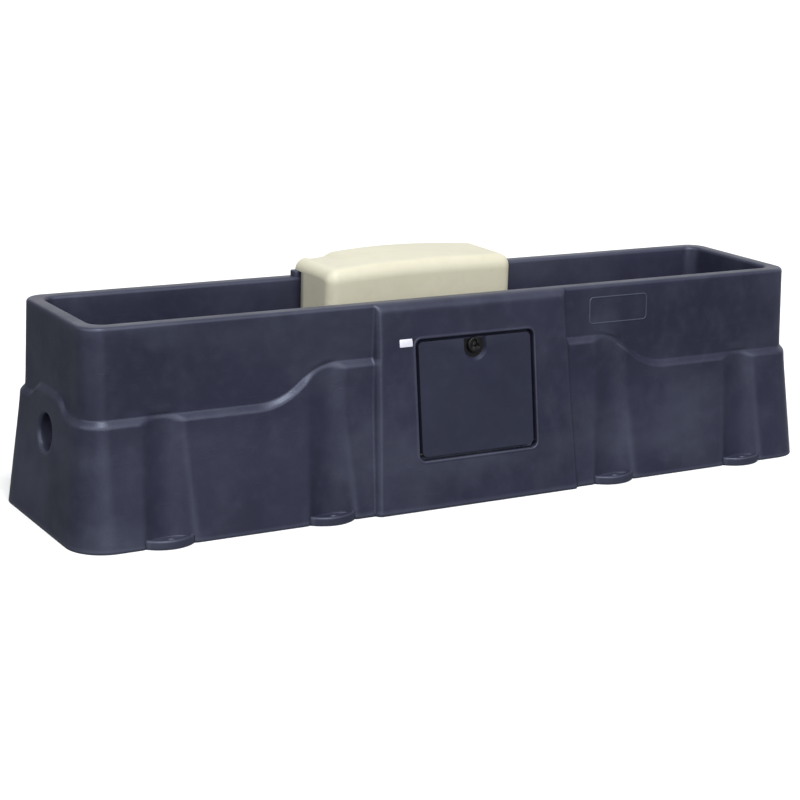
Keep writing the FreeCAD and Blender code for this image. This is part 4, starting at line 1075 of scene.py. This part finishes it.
FINISHES = {
    "moulded_body": finish_with(
        "trough_polyethylene", BLUE_BLACK, (0.32, 0.44),
        dust=(DUSTY, 2.3, (1, 1, 1.5), 0.49, 0.42), scuff=(DUSTY, 11.0, (1, 1, 0.7), 0.53, 0.2),
        # edge: convex edges lightened, a painted highlight with some wear
        streak=(60.0, (0.35, 1, 2.5), 0.00012), edge=((0.085, 0.092, 0.13), 0.503, 0.55, 0.5),
        speck=((0.05, 0.052, 0.07), 420.0), tint=BLUE_SHEEN),
    "moulded_door": finish_with(
        "door_polyethylene", ((0.0120, 0.0125, 0.0280), (0.0150, 0.0155, 0.0330), (0.0190, 0.0195, 0.0390)),
        (0.42, 0.55), dust=(DUSTY, 3.4, (1, 1, 1.6), 0.56, 0.22), streak=(70.0, (0.4, 1, 2.2), 0.0001),
        # edge: convex edges lightened, a painted highlight with some wear
        edge=((0.07, 0.075, 0.10), 0.505, 0.56, 0.4), speck=((0.04, 0.042, 0.055), 420.0), specular=0.4,
        tint=BLUE_SHEEN),
    "moulded_cover": finish_with(
        "cover_polyethylene", ((0.58, 0.55, 0.42), (0.62, 0.59, 0.455), (0.54, 0.51, 0.385)),
        (0.34, 0.46), dust=((0.50, 0.47, 0.36), 5.0, (1, 1, 0.6), 0.58, 0.25), glow=0.45,
        streak=(60.0, (0.5, 1, 2.0), 0.0001), speck=((0.60, 0.56, 0.44), 420.0)),
    "black_plastic": finish_with(
        "black_acetal", ((0.004, 0.004, 0.0045), (0.006, 0.006, 0.0065), (0.009, 0.009, 0.0095)),
        (0.36, 0.48), dust=((0.03, 0.03, 0.03), 14.0, (1, 1, 1), 0.6, 0.25), specular=0.3,
        grain=(2600.0, 0.00006), swell=(40.0, 0.0001)),
    "float_plastic": finish_with(
        "float_polypropylene", ((0.72, 0.22, 0.05), (0.76, 0.25, 0.06), (0.66, 0.20, 0.05)),
        (0.28, 0.4), dust=((0.5, 0.28, 0.16), 12.0, (1, 1, 1), 0.58, 0.35), grain=(1400.0, 0.00008),
        swell=(30.0, 0.0002)),
    "brass": finish_with(
        "cast_brass", ((0.60, 0.42, 0.17), (0.66, 0.47, 0.20), (0.46, 0.31, 0.13)),
        (0.26, 0.42), metal=1.0, dust=((0.28, 0.20, 0.11), 40.0, (1, 1, 1), 0.55, 0.5),
        grain=(1800.0, 0.00008), swell=(60.0, 0.0001)),
    "steel": finish_with(
        "stainless_steel", ((0.50, 0.50, 0.50), (0.56, 0.56, 0.55), (0.40, 0.40, 0.39)),
        (0.24, 0.4), metal=1.0, dust=((0.30, 0.28, 0.25), 50.0, (1, 1, 1), 0.58, 0.4),
        grain=(2400.0, 0.00005), swell=(80.0, 0.00005), streak=(300.0, (1, 1, 0.2), 0.00002)),
    "chrome": finish_with(
        "plated_ball", ((0.66, 0.67, 0.68), (0.70, 0.71, 0.72), (0.58, 0.59, 0.60)),
        (0.06, 0.14), metal=1.0, grain=(3000.0, 0.00001), swell=(80.0, 0.00002)),
    "rubber": finish_with(
        "nitrile_rubber", ((0.014, 0.014, 0.014), (0.018, 0.018, 0.018), (0.024, 0.024, 0.023)),
        (0.55, 0.72), dust=((0.06, 0.058, 0.054), 30.0, (1, 1, 1), 0.56, 0.4), grain=(2000.0, 0.0001),
        swell=(60.0, 0.0001)),
    "nylon": finish_with(
        "white_nylon", ((0.70, 0.69, 0.64), (0.74, 0.73, 0.68), (0.62, 0.60, 0.54)),
        (0.34, 0.46), grain=(2400.0, 0.00005), swell=(60.0, 0.00005)),
    "pipe_plastic": finish_with(
        "blue_water_pipe", ((0.012, 0.075, 0.26), (0.015, 0.085, 0.29), (0.02, 0.10, 0.30)),
        (0.32, 0.44), dust=((0.12, 0.14, 0.18), 14.0, (1, 1, 0.4), 0.56, 0.35), grain=(1600.0, 0.00006),
        swell=(30.0, 0.00015)),
    "hose_plastic": finish_with(
        "grey_hose", ((0.16, 0.17, 0.18), (0.19, 0.20, 0.21), (0.22, 0.22, 0.22)),
        (0.42, 0.56), dust=((0.30, 0.28, 0.25), 20.0, (1, 1, 1), 0.56, 0.4), grain=(1800.0, 0.0001),
        swell=(40.0, 0.0002)),
    "label": finish_with(
        "blank_sticker", ((0.78, 0.78, 0.86), (0.82, 0.82, 0.90), (0.70, 0.70, 0.78)),
        (0.3, 0.42), dust=((0.5, 0.5, 0.56), 60.0, (1, 1, 1), 0.58, 0.35), grain=(1500.0, 0.00003),
        swell=(60.0, 0.00005)),
}


# ---------------------------------------------------------------- label and small marks
LABEL_OUTLINE = (-258.4, -215.6, 487.6, 510.4, 2.2, 5)   # left, right, low, high, corner, steps
PLUG_X, PLUG_Z = -213.0, 507.0


def make_label():
    """Blank sticker with rounded corners, lying on the panel."""
    sheet = prism("sticker", rounded_outline(*LABEL_OUTLINE), -0.38, 0.03)
    bevelled(sheet, 0.12, 2)
    return placed(sheet, stood_up)


def make_plug():
    """Small dark plug in the panel beside the recess."""
    steps = [(3.9, 0.1), (3.9, -0.25), (3.5, -0.5), (2.7, -0.55), (2.2, -0.2), (1.6, 0.05), (0.05, 0.08)]
    turns = full_turn(32)
    shell = Shell()
    shell.loops([[(PLUG_X + r * math.cos(t), y, PLUG_Z + r * math.sin(t)) for t in turns] for r, y in steps])
    return outward(shell.object("panel_plug", on_panel))


# ---------------------------------------------------------------- pieces
painted(make_body(), "moulded_body", "root", ["trough_body"])
painted(make_plug(), "black_plastic", "root")
painted(make_label(), "label", "root", ["blank_label"])
painted(make_door(), "moulded_door", "door", ["door"])
# Black plate in the latch pocket: painted shade on the pocket's floor.
painted(make_pocket_shade_plate(), "black_plastic", "door")
painted(merged("hinge_pins", [make_pin(sign) for sign in (1, -1)]), "black_plastic", "door")
painted(make_knob(), "black_plastic", "latch", ["latch_knob"])
painted(make_cover(), "moulded_cover", "cover", ["cover"])

for name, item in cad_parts.items():
    if not item.hide_render:
        painted(item, item.data.materials[0].name.split(".")[0])
        item.data.shade_smooth()
        item.data.set_sharp_from_angle(angle=math.radians(36))


# ---------------------------------------------------------------- floor, light and camera
LIGHTS = (("high_light", 1.6, 16, (0.0, 0.36, -0.93)), ("front_light", 2.3, 66, (0.08, 0.80, -0.59)),
          ("left_light", 1.25, 60, (0.75, 0.25, -0.60)), ("back_light", 0.9, 90, (-0.6, -0.68, -0.42)))
FLOOR_WIDTH, FLOOR_COLOUR, FLOOR_ROUGHNESS = 120, (0.9, 0.9, 0.9, 1), 0.9
SURROUNDINGS, SURROUNDINGS_LIGHT, SURROUNDINGS_SEEN = (0.88, 0.94, 1.0, 1), 0.19, 1.2
LENS, SENSOR, SIGHT = 90.04, 36.0, 200.0
CAMERA_PLACE = (-3.103, -5.142, 1.777)
CAMERA_RIGHT, CAMERA_AHEAD = (0.8664, -0.4986, 0.0296), (0.4895, 0.8357, -0.2492)


def make_stage():
    """Pale floor that throws nothing back, dim surroundings that look white, and four broad lamps."""
    bpy.ops.mesh.primitive_plane_add(size=FLOOR_WIDTH)
    floor = bpy.context.object
    floor.name = "studio_floor"
    material = bpy.data.materials.new("studio_floor")
    material.use_nodes = True
    surface = material.node_tree.nodes["Principled BSDF"]
    surface.inputs["Base Color"].default_value = FLOOR_COLOUR
    surface.inputs["Roughness"].default_value = FLOOR_ROUGHNESS
    floor.data.materials.append(material)
    floor.visible_diffuse = False
    floor.visible_glossy = False
    world = bpy.data.worlds.new("Soft surroundings")
    world.use_nodes = True
    tree = world.node_tree
    background = tree.nodes["Background"]
    background.inputs["Color"].default_value = SURROUNDINGS
    seen = tree.nodes.new("ShaderNodeLightPath").outputs["Is Camera Ray"]
    strength = in_range(tree, seen, 0.0, 1.0, SURROUNDINGS_LIGHT, SURROUNDINGS_SEEN)
    tree.links.new(strength, background.inputs["Strength"])
    bpy.context.scene.world = world
    bpy.context.scene.view_settings.view_transform = "Standard"
    for name, energy, angle, direction in LIGHTS:
        lamp = bpy.data.lights.new(name, "SUN")
        lamp.energy = energy
        lamp.angle = math.radians(angle)
        item = bpy.data.objects.new(name, lamp)
        item.rotation_mode = "QUATERNION"
        item.rotation_quaternion = Vector(direction).to_track_quat("-Z", "Y")
        bpy.context.scene.collection.objects.link(item)


def make_camera():
    """Long-lens camera above the left front corner."""
    lens = bpy.data.cameras.new("Camera")
    lens.sensor_width = SENSOR
    lens.lens = LENS
    lens.clip_end = SIGHT
    camera = bpy.data.objects.new("Camera", lens)
    ahead = Vector(CAMERA_AHEAD).normalized()
    above = Vector(CAMERA_RIGHT).cross(ahead).normalized()
    right = ahead.cross(above)
    turn = Matrix((right, above, -ahead)).transposed().to_4x4()
    camera.matrix_world = Matrix.Translation(CAMERA_PLACE) @ turn
    bpy.context.scene.collection.objects.link(camera)
    bpy.context.scene.camera = camera


make_stage()
make_camera()
